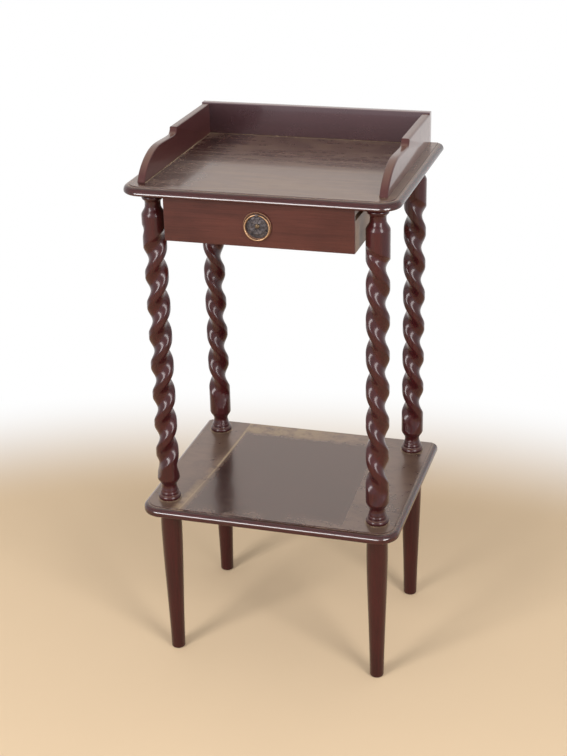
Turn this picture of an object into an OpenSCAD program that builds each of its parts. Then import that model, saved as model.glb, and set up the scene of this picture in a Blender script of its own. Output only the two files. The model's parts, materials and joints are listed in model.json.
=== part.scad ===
// Shaving stand: a moulded top with a three-sided gallery and a drawer, on four barley-twist
// posts, a shelf and four turned legs. The front faces -Y; the origin is on the floor, under
// the middle of the boards.

/* [Boards] */
// Width of the top board and of the shelf
board_w = 400; // [370:1:440]
// Depth of the top board and of the shelf
board_d = 325; // [312:1:360]
// Height of the top board's upper face
top_h = 776; // [700:1:850]
// Thickness of the top board
top_t = 12.5; // [12.3:0.1:18]
// Height of the shelf's upper face
shelf_h = 271; // [180:1:320]
// Thickness of the shelf
shelf_t = 15; // [12.5:0.1:20]
// Radius of the boards' two front corners
corner_r = 31; // [20:1:45]
// Radius of the quarter-round moulding on the front and side edges
mould_r = 8.4; // [5:0.1:8.4]
// Radius under the edge
under_r = 3; // [1:0.1:3]

/* [Gallery] */
// Distance of the side panels from the ends of the board
gallery_inset = 19.5; // [12:0.5:26]
// Thickness of the back panel and of the side panels
gallery_t = 12; // [10:0.5:14]
// Height of the back panel above the board
back_h = 48; // [40:0.5:80]
// How much lower the side panels are
side_drop = 2; // [0:0.5:5]
// Length of the straight top of a side panel, from the back panel
level_len = 147; // [120:1:160]
// Radius of the scoop in front of the straight top
scoop_r = 9.5; // [6:0.5:12]
// Distance of the side panels' front ends from the board's front edge
gallery_setback = 28; // [24:0.5:40]
// Height of the sweep's crown above the board
crown_h = 38.3; // [30:0.1:40]

/* [Posts] */
// Distance of the post axes from the ends of the boards
post_inset = 36; // [32:0.5:50]
// Distance of the front post axes from the boards' front edge
post_front_inset = 42.75; // [38:0.25:50]
// Distance of the back post axes from the boards' back edge
post_back_inset = 32.25; // [30:0.25:50]
// Radius over the lobes, and of the plain ends
post_r = 17.3; // [15:0.1:20]
// Distance of the grooves' floor from the post's axis
waist_r = 10.6; // [9:0.1:13]
// Height of one lobe along the right-hand twist
pitch_right = 47.4; // [40:0.1:60]
// Height of one lobe along the left-hand twists
pitch_left = 52.2; // [40:0.1:60]
// Height of the turned foot of the post, below the twist
turned_foot = 36; // [34:1:50]
// Height of the turned head of the post, above the twist
turned_head = 48.5; // [46:0.5:60]
// Length over which the grooves run out
runout = 30; // [20:1:60]

/* [Legs] */
// Radius of the leg near the floor
leg_foot_r = 10.9; // [9:0.1:13]
// Radius of the leg's swell
leg_swell_r = 16.3; // [14.5:0.1:19]
// Radius of the leg's top, under the shelf
leg_top_r = 15.7; // [12:0.1:19]

/* [Drawer] */
// Room between the drawer and the posts, on each side
drawer_room = 8.7; // [6:0.1:20]
// Height of the drawer front and sides
drawer_h = 65; // [55:1:80]
// Room between the drawer's back and the boards' back edge
drawer_rear_room = 40.7; // [38:0.1:70]
// Distance of the drawer's face behind the top board's front edge
drawer_setback = 15.3; // [12:0.1:20]
// Gap between the drawer and the top board
drawer_gap = 1.3; // [0.8:0.1:2]
// Thickness of the drawer front
front_t = 14; // [12:0.5:16]
// Thickness of the drawer front's lap over the ends of the sides
lap_t = 4; // [3:0.5:5]
// Thickness of the drawer sides
side_t = 11; // [10:0.5:13]
// Thickness of the drawer back
rear_t = 10; // [8:0.5:12]
// Thickness of the drawer bottom
bottom_t = 4; // [3:0.5:5]
// Height of the drawer bottom's underside above the drawer's lower edge
bottom_lift = 8; // [5:0.5:12]
// How far the drawer pulls out
drawer_travel = 180; // [120:5:180]

/* [Runners] */
// Distance of the groove from the drawer side's top edge
groove_drop = 11; // [8:0.5:14]
// Height of the groove in the drawer side
groove_h = 8; // [6:0.5:10]
// Depth of the groove in the drawer side
groove_d = 6; // [4:0.5:7]
// Thickness of the runner's web
web_t = 8; // [6:0.5:8]
// Gap between the runners' ends and the posts
runner_end_gap = 4; // [2:0.5:20]

/* [Pull] */
// Height of the middle of the pull above the drawer's lower edge
pull_rise = 31.3; // [26:0.1:40]
// Radius of the backplate
plate_r = 20.5; // [18:0.5:24]
// Thickness of the backplate
plate_t = 1; // [0.8:0.1:1.5]
// Height of the backplate's rim
rim_h = 3; // [2.4:0.1:3.4]
// Radius of the raised disc in the middle of the backplate
disc_r = 12.4; // [10:0.1:13]
// Radius of the ring, to the middle of its wire
ring_r = 17.8; // [16.5:0.1:20]
// Diameter of the ring's wire
wire_d = 2.4; // [2:0.1:3]
// Height of the ring's pivot above the middle of the backplate
pivot_rise = 15.9; // [15:0.1:17]
// Diameter of the pull bolt
pull_bolt_d = 4; // [3:0.5:5]
// Radius of the pull bolt's domed head
boss_r = 3.4; // [3:0.1:5]

/* [Fixings] */
// Diameter of the wooden dowels in the post heads
dowel_d = 10; // [8:0.5:12]
// Diameter of the double-ended leg bolts
leg_bolt_d = 8; // [6:0.5:10]
// Diameter of the wood screws
screw_d = 4; // [3:0.5:4.5]
// Diameter of the screws' countersunk heads
screw_head_d = 8; // [6.5:0.5:9]
// Distance of the outer screws of the back panel from its ends
back_screw_inset = 60; // [20:1:120]
// Distance of the side panels' front screws from the panels' front ends
side_screw_front = 35; // [30:1:60]
// Distance of the side panels' rear screws from the back panel
side_screw_rear = 90; // [20:1:120]

/* [Hidden] */

$fn = 48;

// Clearances
fit_gap = 0.05;      // round a screw, dowel or bolt in its hole
panel_gap = 0.15;    // round the drawer bottom in its grooves
slide_gap = 0.3;     // between the drawer and what carries or stops it
cut = 1;             // how far a cutting shape runs past the face it cuts

// Places in the frame
front_y = -board_d / 2;
back_y = board_d / 2;
post_x = board_w / 2 - post_inset;
post_front_y = front_y + post_front_inset;
post_back_y = back_y - post_back_inset;
top_under = top_h - top_t;
shelf_under = shelf_h - shelf_t;
panel_x = board_w / 2 - gallery_inset;
panel_front_y = front_y + gallery_setback;
panel_back_y = back_y - gallery_t;
quirk = 0.8;         // little step between the flat of a board and its moulding

// Drawer
drawer_w = 2 * (post_x - post_r - drawer_room);
face_y = front_y + drawer_setback;
drawer_top = top_under - drawer_gap;
drawer_low = drawer_top - drawer_h;
drawer_back_y = back_y - drawer_rear_room;
side_front_y = face_y + lap_t;
inner_w = drawer_w - 2 * side_t;
bottom_z = drawer_low + bottom_lift;
bottom_bite = 5;     // how deep the drawer bottom sits in its grooves
groove_top = drawer_top - groove_drop;
groove_low = groove_top - groove_h;

// Runners
runner_gap = 0.8;    // between the runner and the drawer side, outside and in the groove
tongue_lift = 0.7;   // room under the tongue, at the groove's bottom
web_x = drawer_w / 2 + runner_gap;
tongue_low = groove_low + tongue_lift;
runner_front_y = post_front_y + post_r + runner_end_gap;
runner_len = post_back_y - post_r - runner_end_gap - runner_front_y;
stop_len = 40;
stop_t = 15;
stop_h = 13;
runner_screw_inset = 35;
runner_screw_bite = 7.5;   // depth of the runner screws in the top board

// Pull
pull_z = drawer_low + pull_rise;
pivot_out = 3;       // distance of the ring's pivot from the drawer's face
ring_gap = 0.3;      // gap between the hanging ring and the backplate's rim
ring_lean = asin((rim_h + wire_d / 2 + ring_gap - pivot_out) / (2 * ring_r));
knuckle_r = 2.6;     // knuckle that holds the ring
knuckle_w = 4.6;
rim_w = 1.9;         // width of the backplate's rim
disc_t = 1.8;        // thickness of the raised disc
washer_t = 0.8;
washer_r = 5.5;
nut_t = 3.2;
nut_r = 4.2;

// Fixings
gallery_screw_len = 30;
slot_w = 1.2;        // screwdriver slot in a screw's head
slot_h = 0.9;
dowel_len = 24;
dowel_in_top = 8;
leg_bolt_in_leg = 30;
leg_bolt_in_post = 25;

WOOD = [0.24, 0.11, 0.10];
DARK_WOOD = [0.16, 0.09, 0.08];
FRONT_WOOD = [0.38, 0.19, 0.16];
BARE_WOOD = [0.62, 0.47, 0.32];
BRASS = [0.66, 0.52, 0.34];
BRONZE = [0.30, 0.26, 0.22];
STEEL = [0.60, 0.60, 0.60];

// ---------- shapes shared by several pieces ----------

// Smooth step from 0 to 1 while t runs from 0 to 1
function smooth(t) = let (u = min(max(t, 0), 1)) u * u * (3 - 2 * u);

// Points from [r0, z0] to [r1, z1] along half a cosine wave
function swell(r0, z0, r1, z1, steps = 8) =
    [for (i = [0:steps]) let (u = i / steps) [r0 + (r1 - r0) * (1 - cos(180 * u)) / 2, z0 + (z1 - z0) * u]];

// Points along an arc round [x, y]
function arc(x, y, r, from, to, steps = 8) =
    [for (i = [0:steps]) let (a = from + (to - from) * i / steps) [x + r * cos(a), y + r * sin(a)]];

// Section through a moulded edge: the nose is at x = 0, the board runs to x = run
module edge_section(t, run) {
    flat_h = t - quirk - mould_r;
    translate([mould_r, 0]) square([run - mould_r, t]);
    translate([under_r, 0]) square([mould_r - under_r, flat_h]);
    translate([0, under_r]) square([mould_r, flat_h - under_r]);
    intersection() {
        translate([mould_r, flat_h]) circle(mould_r);
        translate([0, flat_h]) square(mould_r);
    }
    intersection() {
        translate([under_r, under_r]) circle(under_r);
        square(under_r);
    }
}

// A board, moulded on the front and sides and cut square at the back, its underside at z = 0
module moulded_board(t) {
    straight_w = board_w - 2 * corner_r;
    for (side = [0, 1]) mirror([side, 0, 0]) {
        translate([-board_w / 2, back_y, 0]) rotate([90, 0, 0])
            linear_extrude(board_d - corner_r) edge_section(t, board_w / 2);
        translate([-straight_w / 2, front_y + corner_r, 0]) rotate([0, 0, 180])
            rotate_extrude(angle = 90) translate([corner_r, 0]) mirror([1, 0]) edge_section(t, corner_r);
    }
    translate([-straight_w / 2, front_y, 0]) rotate([90, 0, 90])
        linear_extrude(straight_w) edge_section(t, corner_r);
}

// Places its children at the four post axes
module at_posts() {
    for (x = [-post_x, post_x], y = [post_front_y, post_back_y]) translate([x, y, 0]) children();
}

// A wood screw with a countersunk head, its head's face at z = 0 and its point up
module wood_screw(length, gap = 0) {
    head_h = (screw_head_d - screw_d) / 2;
    cylinder(h = length + gap, d = screw_d + 2 * gap);
    cylinder(h = head_h, d1 = screw_head_d + 2 * gap, d2 = screw_d + 2 * gap);
}

// A wood screw with a screwdriver slot across its head
module slotted_screw(length) {
    difference() {
        wood_screw(length);
        translate([-screw_head_d, -slot_w / 2, -cut]) cube([2 * screw_head_d, slot_w, cut + slot_h]);
    }
}

// The hole for a wood screw, open below z = 0
module screw_hole(length) {
    wood_screw(length, fit_gap);
    translate([0, 0, -cut]) cylinder(h = cut, d = screw_head_d + 2 * fit_gap);
}

// Places its children at the gallery screws, on the underside of the top board
module at_gallery_screws() {
    for (x = [-1:1]) translate([x * (panel_x - back_screw_inset), back_y - gallery_t / 2, top_under])
        children();
    for (x = [-1, 1], y = [panel_front_y + side_screw_front, panel_back_y - side_screw_rear])
        translate([x * (panel_x - gallery_t / 2), y, top_under]) children();
}

// Places its children at the runner screws, on the underside of the runners' webs
module at_runner_screws() {
    for (x = [-1, 1], y = [runner_screw_inset, runner_len - runner_screw_inset])
        translate([x * (web_x + web_t / 2), runner_front_y + y, tongue_low]) children();
}

// Turns its children from standing on z = 0 to standing on the drawer's face, at the pull
module on_face() {
    translate([0, face_y, pull_z]) rotate([90, 0, 0]) children();
}

// ---------- boards and gallery ----------

module top_board() {
    color(DARK_WOOD) difference() {
        translate([0, 0, top_under]) moulded_board(top_t);
        at_posts() translate([0, 0, top_under - cut])
            cylinder(h = cut + dowel_in_top + fit_gap, d = dowel_d + 2 * fit_gap);
        at_gallery_screws() screw_hole(top_t + cut);
        at_runner_screws() cylinder(h = top_under - tongue_low + runner_screw_bite + fit_gap,
            d = screw_d + 2 * fit_gap);
    }
}

module shelf_board() {
    color(DARK_WOOD) difference() {
        translate([0, 0, shelf_under]) moulded_board(shelf_t);
        at_posts() translate([0, 0, shelf_under - cut])
            cylinder(h = shelf_t + 2 * cut, d = leg_bolt_d + 2 * fit_gap);
    }
}

// Clearance holes of the gallery screws in the panels above the board
module gallery_screw_holes() {
    at_gallery_screws() cylinder(h = gallery_screw_len + fit_gap, d = screw_d + 2 * fit_gap);
}

module gallery_back() {
    edge_r = 1.5;    // rounding of the panel's top edges
    color(WOOD) difference() {
        translate([-panel_x, panel_back_y, top_h]) union() {
            cube([2 * panel_x, gallery_t, back_h - edge_r]);
            translate([0, edge_r, 0]) cube([2 * panel_x, gallery_t - 2 * edge_r, back_h]);
            for (y = [edge_r, gallery_t - edge_r]) translate([0, y, back_h - edge_r])
                rotate([0, 90, 0]) cylinder(h = 2 * panel_x, r = edge_r);
        }
        gallery_screw_holes();
    }
}

// Outline of a side panel in the plane of y and height above the board: a level top, a scoop,
// then a sweep whose height is the crown times (1 - u^2)^0.71, u running to the front end
module side_outline() {
    level_h = back_h - side_drop;
    scoop_y = panel_back_y - level_len - scoop_r;
    sweep_len = 72;
    sweep_fall = 0.71;
    crown_y = panel_front_y + sweep_len;
    dip_y = scoop_y - 3;
    dip_h = level_h - scoop_r;
    polygon(concat(
        [[panel_back_y, 0], [panel_back_y, level_h]],
        arc(scoop_y, level_h, scoop_r, 0, -90, 8),
        [for (i = [0:4]) let (u = i / 4)
            [dip_y + (crown_y - dip_y) * u, dip_h + (crown_h - dip_h) * smooth(u)]],
        [for (i = [1:22]) let (u = sin(90 * i / 22))
            [crown_y - sweep_len * u, crown_h * pow(max(1 - u * u, 0), sweep_fall)]]));
}

module gallery_side() {
    color(WOOD) difference() {
        translate([-panel_x, 0, top_h]) rotate([90, 0, 90]) linear_extrude(gallery_t) side_outline();
        gallery_screw_holes();
    }
}

module gallery_side_left() { gallery_side(); }
module gallery_side_right() { mirror([1, 0, 0]) gallery_side(); }

module gallery_screws() {
    color(STEEL) at_gallery_screws() slotted_screw(gallery_screw_len);
}

// ---------- posts and legs ----------

// Distance from the axis to the surface of the twist's section at the angle a: a superellipse
// whose narrow way gives two wide round grooves, cut off by the post's own circle
function twist_section(a) =
    let (power = 2.8)
    min(post_r, pow(pow(abs(cos(a)) / post_r, power) + pow(abs(sin(a)) / waist_r, power), -1 / power));

// The twisted length of a post: rings of a two-lobed section, each turned on from the last.
// The grooves fade into the plain ends, where the section is a circle.
module twist(hand, pitch, lobe_z, lobe_angle) {
    sides = 24;
    rings = 72;
    seat = 0.1;      // how far the twist's ends sit inside the turned ends
    low = shelf_h + turned_foot;
    high = top_under - turned_head;
    points = [for (i = [0:rings]) let (
            z = low + (high - low) * i / rings,
            depth = smooth((z - low) / runout) * smooth((high - z) / runout),
            turn = lobe_angle + hand * 180 * (z - lobe_z) / pitch)
        for (j = [0:sides - 1]) let (
            a = 360 * j / sides,
            r = post_r - seat - depth * (post_r - twist_section(a)))
        [r * cos(turn + a), r * sin(turn + a), z]];
    function at(i, j) = i * sides + j % sides;
    walls = [for (i = [0:rings - 1], j = [0:sides - 1]) each hand > 0
        ? [[at(i, j), at(i + 1, j), at(i, j + 1)], [at(i, j + 1), at(i + 1, j), at(i + 1, j + 1)]]
        : [[at(i, j), at(i + 1, j), at(i + 1, j + 1)], [at(i, j), at(i + 1, j + 1), at(i, j + 1)]]];
    caps = [[for (j = [0:sides - 1]) at(0, j)], [for (j = [sides - 1:-1:0]) at(rings, j)]];
    polyhedron(points, concat(walls, caps));
}

// The turned foot of a post: base bead, collar, neck and swell
module post_foot() {
    bead_r = 4.2;
    bead_mid = 3.4;
    collar_r = 14.3;
    neck_r = 11.5;
    bead_out = post_r - bead_r;
    rotate_extrude() polygon(concat(
        [[0, 0]],
        arc(bead_out, bead_mid, bead_r, -54, 75, 10),
        [[collar_r - 0.3, bead_mid + bead_r + 0.2]],
        arc(collar_r - 2.6, bead_mid + bead_r + 3, 2.6, -45, 50, 6),
        swell(collar_r - 1.2, 13.4, neck_r, 21.5, 6),
        swell(neck_r, 22, post_r, turned_foot - 1, 10),
        [[post_r, turned_foot + 1], [0, turned_foot + 1]]));
}

// The turned head of a post, drawn downwards from the top board: disc, bead, neck and shoulder
module post_head() {
    disc = 15.6;
    neck_r = 11.6;
    rotate_extrude() polygon(concat(
        [[0, 0], [disc, 0], [disc, -6.6], [disc - 0.9, -7.2]],
        arc(disc - 4, -11.2, 4, 70, -72, 10),
        swell(disc - 3.4, -15.6, neck_r, -18, 4),
        swell(neck_r, -24, post_r, -38, 10),
        [[post_r, -turned_head - 1], [0, -turned_head - 1]]));
}

// A post on the origin of x and y, with its dowel hole and bolt hole
module post(hand, pitch, lobe_z, lobe_angle) {
    difference() {
        union() {
            translate([0, 0, shelf_h]) post_foot();
            translate([0, 0, top_under]) post_head();
            twist(hand, pitch, lobe_z, lobe_angle);
        }
        translate([0, 0, top_under - (dowel_len - dowel_in_top) - fit_gap])
            cylinder(h = dowel_len, d = dowel_d + 2 * fit_gap);
        translate([0, 0, shelf_h - cut])
            cylinder(h = cut + leg_bolt_in_post + fit_gap, d = leg_bolt_d + 2 * fit_gap);
    }
}

module post_front_left() {
    color(WOOD) translate([-post_x, post_front_y, 0]) post(1, pitch_right, 492.5, 21.4);
}
module post_front_right() {
    color(WOOD) translate([post_x, post_front_y, 0]) post(-1, pitch_left, 485.5, 15.5);
}
module post_back_left() {
    color(WOOD) translate([-post_x, post_back_y, 0]) post(-1, pitch_left, 501, 15.4);
}
module post_back_right() {
    color(WOOD) translate([post_x, post_back_y, 0]) post(-1, pitch_left, 487.2, 10.2);
}

module post_dowels() {
    end_r = 1;       // chamfer on each end
    color(BARE_WOOD) at_posts() translate([0, 0, top_under - (dowel_len - dowel_in_top)]) {
        cylinder(h = end_r, d1 = dowel_d - 2 * end_r, d2 = dowel_d);
        translate([0, 0, end_r]) cylinder(h = dowel_len - 2 * end_r, d = dowel_d);
        translate([0, 0, dowel_len - end_r]) cylinder(h = end_r, d1 = dowel_d, d2 = dowel_d - 2 * end_r);
    }
}

// Radius of a leg at a share u of the way from its foot to its swell
function leg_r(u) = leg_foot_r + (leg_swell_r - leg_foot_r) * (0.45 * u + 0.55 * smooth(u));

module leg() {
    foot_round = 3;
    swell_h = 0.84 * shelf_under;
    difference() {
        rotate_extrude() polygon(concat(
            [[0, 0]],
            arc(leg_foot_r - foot_round, foot_round, foot_round, -90, 0, 5),
            [for (i = [1:14]) let (u = i / 14) [leg_r(u), foot_round + (swell_h - foot_round) * u]],
            swell(leg_swell_r, swell_h + 4, leg_top_r, shelf_under, 4),
            [[0, shelf_under]]));
        translate([0, 0, shelf_under - leg_bolt_in_leg - fit_gap])
            cylinder(h = leg_bolt_in_leg + cut, d = leg_bolt_d + 2 * fit_gap);
    }
}

module leg_front_left() { color(WOOD) translate([-post_x, post_front_y, 0]) leg(); }
module leg_front_right() { color(WOOD) translate([post_x, post_front_y, 0]) leg(); }
module leg_back_left() { color(WOOD) translate([-post_x, post_back_y, 0]) leg(); }
module leg_back_right() { color(WOOD) translate([post_x, post_back_y, 0]) leg(); }

module leg_bolts() {
    bolt_len = leg_bolt_in_leg + shelf_t + leg_bolt_in_post;
    tip = 1.5;
    color(STEEL) at_posts() translate([0, 0, shelf_under - leg_bolt_in_leg]) {
        cylinder(h = tip, d1 = leg_bolt_d - 2 * tip, d2 = leg_bolt_d);
        translate([0, 0, tip]) cylinder(h = bolt_len - 2 * tip, d = leg_bolt_d);
        translate([0, 0, bolt_len - tip]) cylinder(h = tip, d1 = leg_bolt_d, d2 = leg_bolt_d - 2 * tip);
    }
}

// ---------- runners and stop ----------

module runner() {
    web_h = top_under - tongue_low;
    tongue_h = groove_top - slide_gap - tongue_low;
    tongue_w = groove_d - runner_gap;
    color(BARE_WOOD) difference() {
        translate([0, runner_front_y, tongue_low]) {
            translate([web_x, 0, 0]) cube([web_t, runner_len, web_h]);
            translate([drawer_w / 2 - tongue_w, 0, 0])
                cube([tongue_w + web_x - drawer_w / 2 + cut, runner_len, tongue_h]);
        }
        at_runner_screws() screw_hole(web_h + cut);
    }
}

module runner_right() { runner(); }
module runner_left() { mirror([1, 0, 0]) runner(); }

module runner_screws() {
    color(STEEL) at_runner_screws() slotted_screw(top_under - tongue_low + runner_screw_bite);
}

module drawer_stop() {
    color(BARE_WOOD) translate([-stop_len / 2, drawer_back_y + slide_gap, top_under - stop_h])
        cube([stop_len, stop_t, stop_h]);
}

// ---------- drawer ----------

module drawer_front() {
    color(FRONT_WOOD) difference() {
        translate([-drawer_w / 2, face_y, drawer_low]) cube([drawer_w, front_t, drawer_h]);
        for (x = [-1, 1]) translate([x * (drawer_w / 2 - side_t / 2 + cut / 2), side_front_y + front_t / 2,
            drawer_low + drawer_h / 2]) cube([side_t + cut, front_t, drawer_h + 2 * cut], center = true);
        translate([-inner_w / 2 - cut, face_y + front_t - bottom_bite, bottom_z])
            cube([inner_w + 2 * cut, bottom_bite + cut, bottom_t]);
        on_face() translate([0, 0, -front_t - cut])
            cylinder(h = front_t + 2 * cut, d = pull_bolt_d + 2 * fit_gap);
    }
}

module drawer_side() {
    side_len = drawer_back_y - side_front_y;
    color(BARE_WOOD) difference() {
        translate([drawer_w / 2 - side_t, side_front_y, drawer_low]) cube([side_t, side_len, drawer_h]);
        translate([drawer_w / 2 - groove_d, side_front_y - cut, groove_low])
            cube([groove_d + cut, side_len + 2 * cut, groove_h]);
        translate([inner_w / 2 - cut, side_front_y - cut, bottom_z])
            cube([bottom_bite + cut, side_len + 2 * cut, bottom_t]);
    }
}

module drawer_side_right() { drawer_side(); }
module drawer_side_left() { mirror([1, 0, 0]) drawer_side(); }

module drawer_back() {
    back_low = bottom_z + bottom_t;
    color(BARE_WOOD) translate([-inner_w / 2, drawer_back_y - rear_t, back_low])
        cube([inner_w, rear_t, drawer_top - back_low]);
}

module drawer_bottom() {
    bite = bottom_bite - panel_gap;
    color(BARE_WOOD)
        translate([-inner_w / 2 - bite, face_y + front_t - bite, bottom_z + panel_gap / 2])
            cube([inner_w + 2 * bite, drawer_back_y - face_y - front_t + bite, bottom_t - panel_gap / 2]);
}

// ---------- pull ----------

module pull_backplate() {
    color(BRONZE) difference() {
        on_face() {
            rotate_extrude() polygon(concat(
                [[0, 0], [plate_r, 0], [plate_r, plate_t]],
                arc(plate_r - rim_w / 2, rim_h - rim_w / 2, rim_w / 2, 0, 180, 8),
                [[plate_r - rim_w, plate_t], [disc_r + 1, plate_t], [disc_r, disc_t - 0.3],
                    [disc_r - 0.5, disc_t], [0, disc_t]]));
            translate([-knuckle_w / 2, pivot_rise - knuckle_r, 0]) cube([knuckle_w, 2 * knuckle_r, pivot_out]);
            translate([-knuckle_w / 2, pivot_rise, pivot_out]) rotate([0, 90, 0])
                cylinder(h = knuckle_w, r = knuckle_r);
        }
        on_face() translate([0, 0, -cut]) cylinder(h = 3 * cut, d = pull_bolt_d + 2 * fit_gap);
        on_face() translate([-knuckle_w / 2 - cut, pivot_rise, pivot_out]) rotate([0, 90, 0])
            cylinder(h = knuckle_w + 2 * cut, d = wire_d + 2 * ring_gap);
    }
}

module pull_bolt() {
    dome_h = 2;
    shank_len = front_t + washer_t + nut_t + 1;
    color(BRASS) on_face() {
        translate([0, 0, disc_t]) rotate_extrude()
            polygon(concat([[0, 0]], [for (i = [0:8]) let (a = 90 * i / 8) [boss_r * cos(a), dome_h * sin(a)]]));
        translate([0, 0, -shank_len]) cylinder(h = shank_len + disc_t + 0.5, d = pull_bolt_d);
    }
}

// Places its children on the inner face of the drawer front, pointing into the drawer
module inside_front() {
    translate([0, face_y + front_t, pull_z]) rotate([-90, 0, 0]) children();
}

module pull_washer() {
    color(BRASS) inside_front() difference() {
        cylinder(h = washer_t, r = washer_r);
        translate([0, 0, -cut]) cylinder(h = washer_t + 2 * cut, d = pull_bolt_d + 2 * fit_gap);
    }
}

module pull_nut() {
    color(BRASS) inside_front() translate([0, 0, washer_t]) difference() {
        cylinder(h = nut_t, r = nut_r, $fn = 6);
        translate([0, 0, -cut]) cylinder(h = nut_t + 2 * cut, d = pull_bolt_d + 2 * fit_gap);
    }
}

module pull_ring() {
    color(BRASS) translate([0, face_y - pivot_out, pull_z + pivot_rise]) rotate([-ring_lean, 0, 0])
        translate([0, 0, -ring_r]) rotate([90, 0, 0]) rotate_extrude() translate([ring_r, 0]) circle(d = wire_d);
}

top_board();
gallery_back();
gallery_side_left();
gallery_side_right();
gallery_screws();
post_front_left();
post_front_right();
post_back_left();
post_back_right();
post_dowels();
shelf_board();
leg_front_left();
leg_front_right();
leg_back_left();
leg_back_right();
leg_bolts();
runner_left();
runner_right();
runner_screws();
drawer_stop();
drawer_front();
drawer_side_left();
drawer_side_right();
drawer_back();
drawer_bottom();
pull_backplate();
pull_bolt();
pull_washer();
pull_nut();
pull_ring();
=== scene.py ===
"""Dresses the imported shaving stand: twisted posts, moulded boards, drawer, ring pull and finishes."""
import json
import logging
import math
from dataclasses import dataclass
from enum import Enum
from typing import Callable, Optional, Sequence, Union

import bpy
import numpy as np
from mathutils import Matrix, Vector


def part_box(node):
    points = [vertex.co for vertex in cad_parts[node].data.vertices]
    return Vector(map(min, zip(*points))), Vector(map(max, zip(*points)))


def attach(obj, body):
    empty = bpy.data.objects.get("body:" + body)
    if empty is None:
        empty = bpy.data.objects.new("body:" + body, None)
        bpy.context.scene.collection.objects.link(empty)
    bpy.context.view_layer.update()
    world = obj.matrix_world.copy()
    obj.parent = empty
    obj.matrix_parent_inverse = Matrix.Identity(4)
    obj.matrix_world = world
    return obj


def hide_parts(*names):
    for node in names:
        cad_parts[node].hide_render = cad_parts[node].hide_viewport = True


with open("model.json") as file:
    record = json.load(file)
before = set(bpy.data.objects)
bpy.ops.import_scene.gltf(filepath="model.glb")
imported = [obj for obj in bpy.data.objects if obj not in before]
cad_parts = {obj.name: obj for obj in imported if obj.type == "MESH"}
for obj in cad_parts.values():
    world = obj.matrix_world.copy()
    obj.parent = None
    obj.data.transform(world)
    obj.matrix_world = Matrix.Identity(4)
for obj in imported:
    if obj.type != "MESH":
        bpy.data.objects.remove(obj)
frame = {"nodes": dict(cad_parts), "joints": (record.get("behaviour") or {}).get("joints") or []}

Array = np.ndarray
Piece = bpy.types.Object
Rgb = tuple[float, float, float]
Spot = tuple[float, float]
MM = 0.001
WHITE: Rgb = (1.0, 1.0, 1.0)
POSTS = ("post_front_left", "post_front_right", "post_back_left", "post_back_right")
LEGS = ("leg_front_left", "leg_front_right", "leg_back_left", "leg_back_right")
log = logging.getLogger("shaving_stand")


# ---------------------------------------------------------------- curves


def smooth(t: Array) -> Array:
    """Smooth step from 0 to 1 while t runs from 0 to 1: three t squared less two t cubed."""
    u = np.clip(t, 0.0, 1.0)
    return u * u * (3.0 - 2.0 * u)


def around(sides: int) -> Array:
    """The angles of a full turn in radians, evenly stepped."""
    return np.linspace(0.0, 2.0 * np.pi, sides, endpoint=False)


def arc(x: float, y: float, radius: float, start: float, end: float, steps: int = 12) -> Array:
    """Points on a circular arc.

    Args:
        x, y: the arc's centre.
        radius: its radius.
        start, end: its angles in degrees, counted from the first axis.
        steps: the number of stretches.

    Returns:
        (steps + 1, 2) points: centre plus radius times cosine and sine of an evenly stepped angle.
    """
    a = np.radians(np.linspace(start, end, steps + 1))
    return np.column_stack([x + radius * np.cos(a), y + radius * np.sin(a)])


def swell(first: Spot, last: Spot, steps: int = 16) -> Array:
    """Points from first to last, even in the second value, the first following half a cosine wave.

    Args:
        first, last: (radius, height) at the two ends.
        steps: the number of stretches.

    Returns:
        (steps + 1, 2) points.
    """
    u = np.linspace(0.0, 1.0, steps + 1)
    bend = (1.0 - np.cos(np.pi * u)) / 2.0
    return np.column_stack([first[0] + (last[0] - first[0]) * bend, first[1] + (last[1] - first[1]) * u])


def spun(profile: Array, sides: int = 96) -> Array:
    """Turns a profile about Z.

    Args:
        profile: (rows, 2) radii and heights.
        sides: the number of columns.

    Returns:
        (rows, sides, 3) points: radius times cosine and sine of the angle, at the profile's height.
    """
    a, r = around(sides), profile[:, :1]
    height = np.broadcast_to(profile[:, 1:], (len(profile), sides))
    return np.stack([r * np.cos(a), r * np.sin(a), height], axis=-1)


# ---------------------------------------------------------------- shells and pieces


class Ends(Enum):
    """How a stack of rings is closed."""

    FLAT = "one flat many-sided face"
    FAN = "triangles to the middle"
    JOINED = "the last ring runs on into the first"


@dataclass
class Shell:
    """A closed skin: its points, and its faces in groups that have equally many corners."""

    points: Array
    faces: list[Array]

    def outward(self) -> "Shell":
        """Turns every face round if the enclosed volume, summed over fans of triangles, is negative.

        Returns:
            The same shell.
        """
        volume = 0.0
        for group in self.faces:
            corners = self.points[group]
            for k in range(1, group.shape[1] - 1):
                volume += np.einsum("ij,ij->", corners[:, 0], np.cross(corners[:, k], corners[:, k + 1]))
        if volume < 0.0:
            self.faces = [group[:, ::-1] for group in self.faces]
        return self


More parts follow.
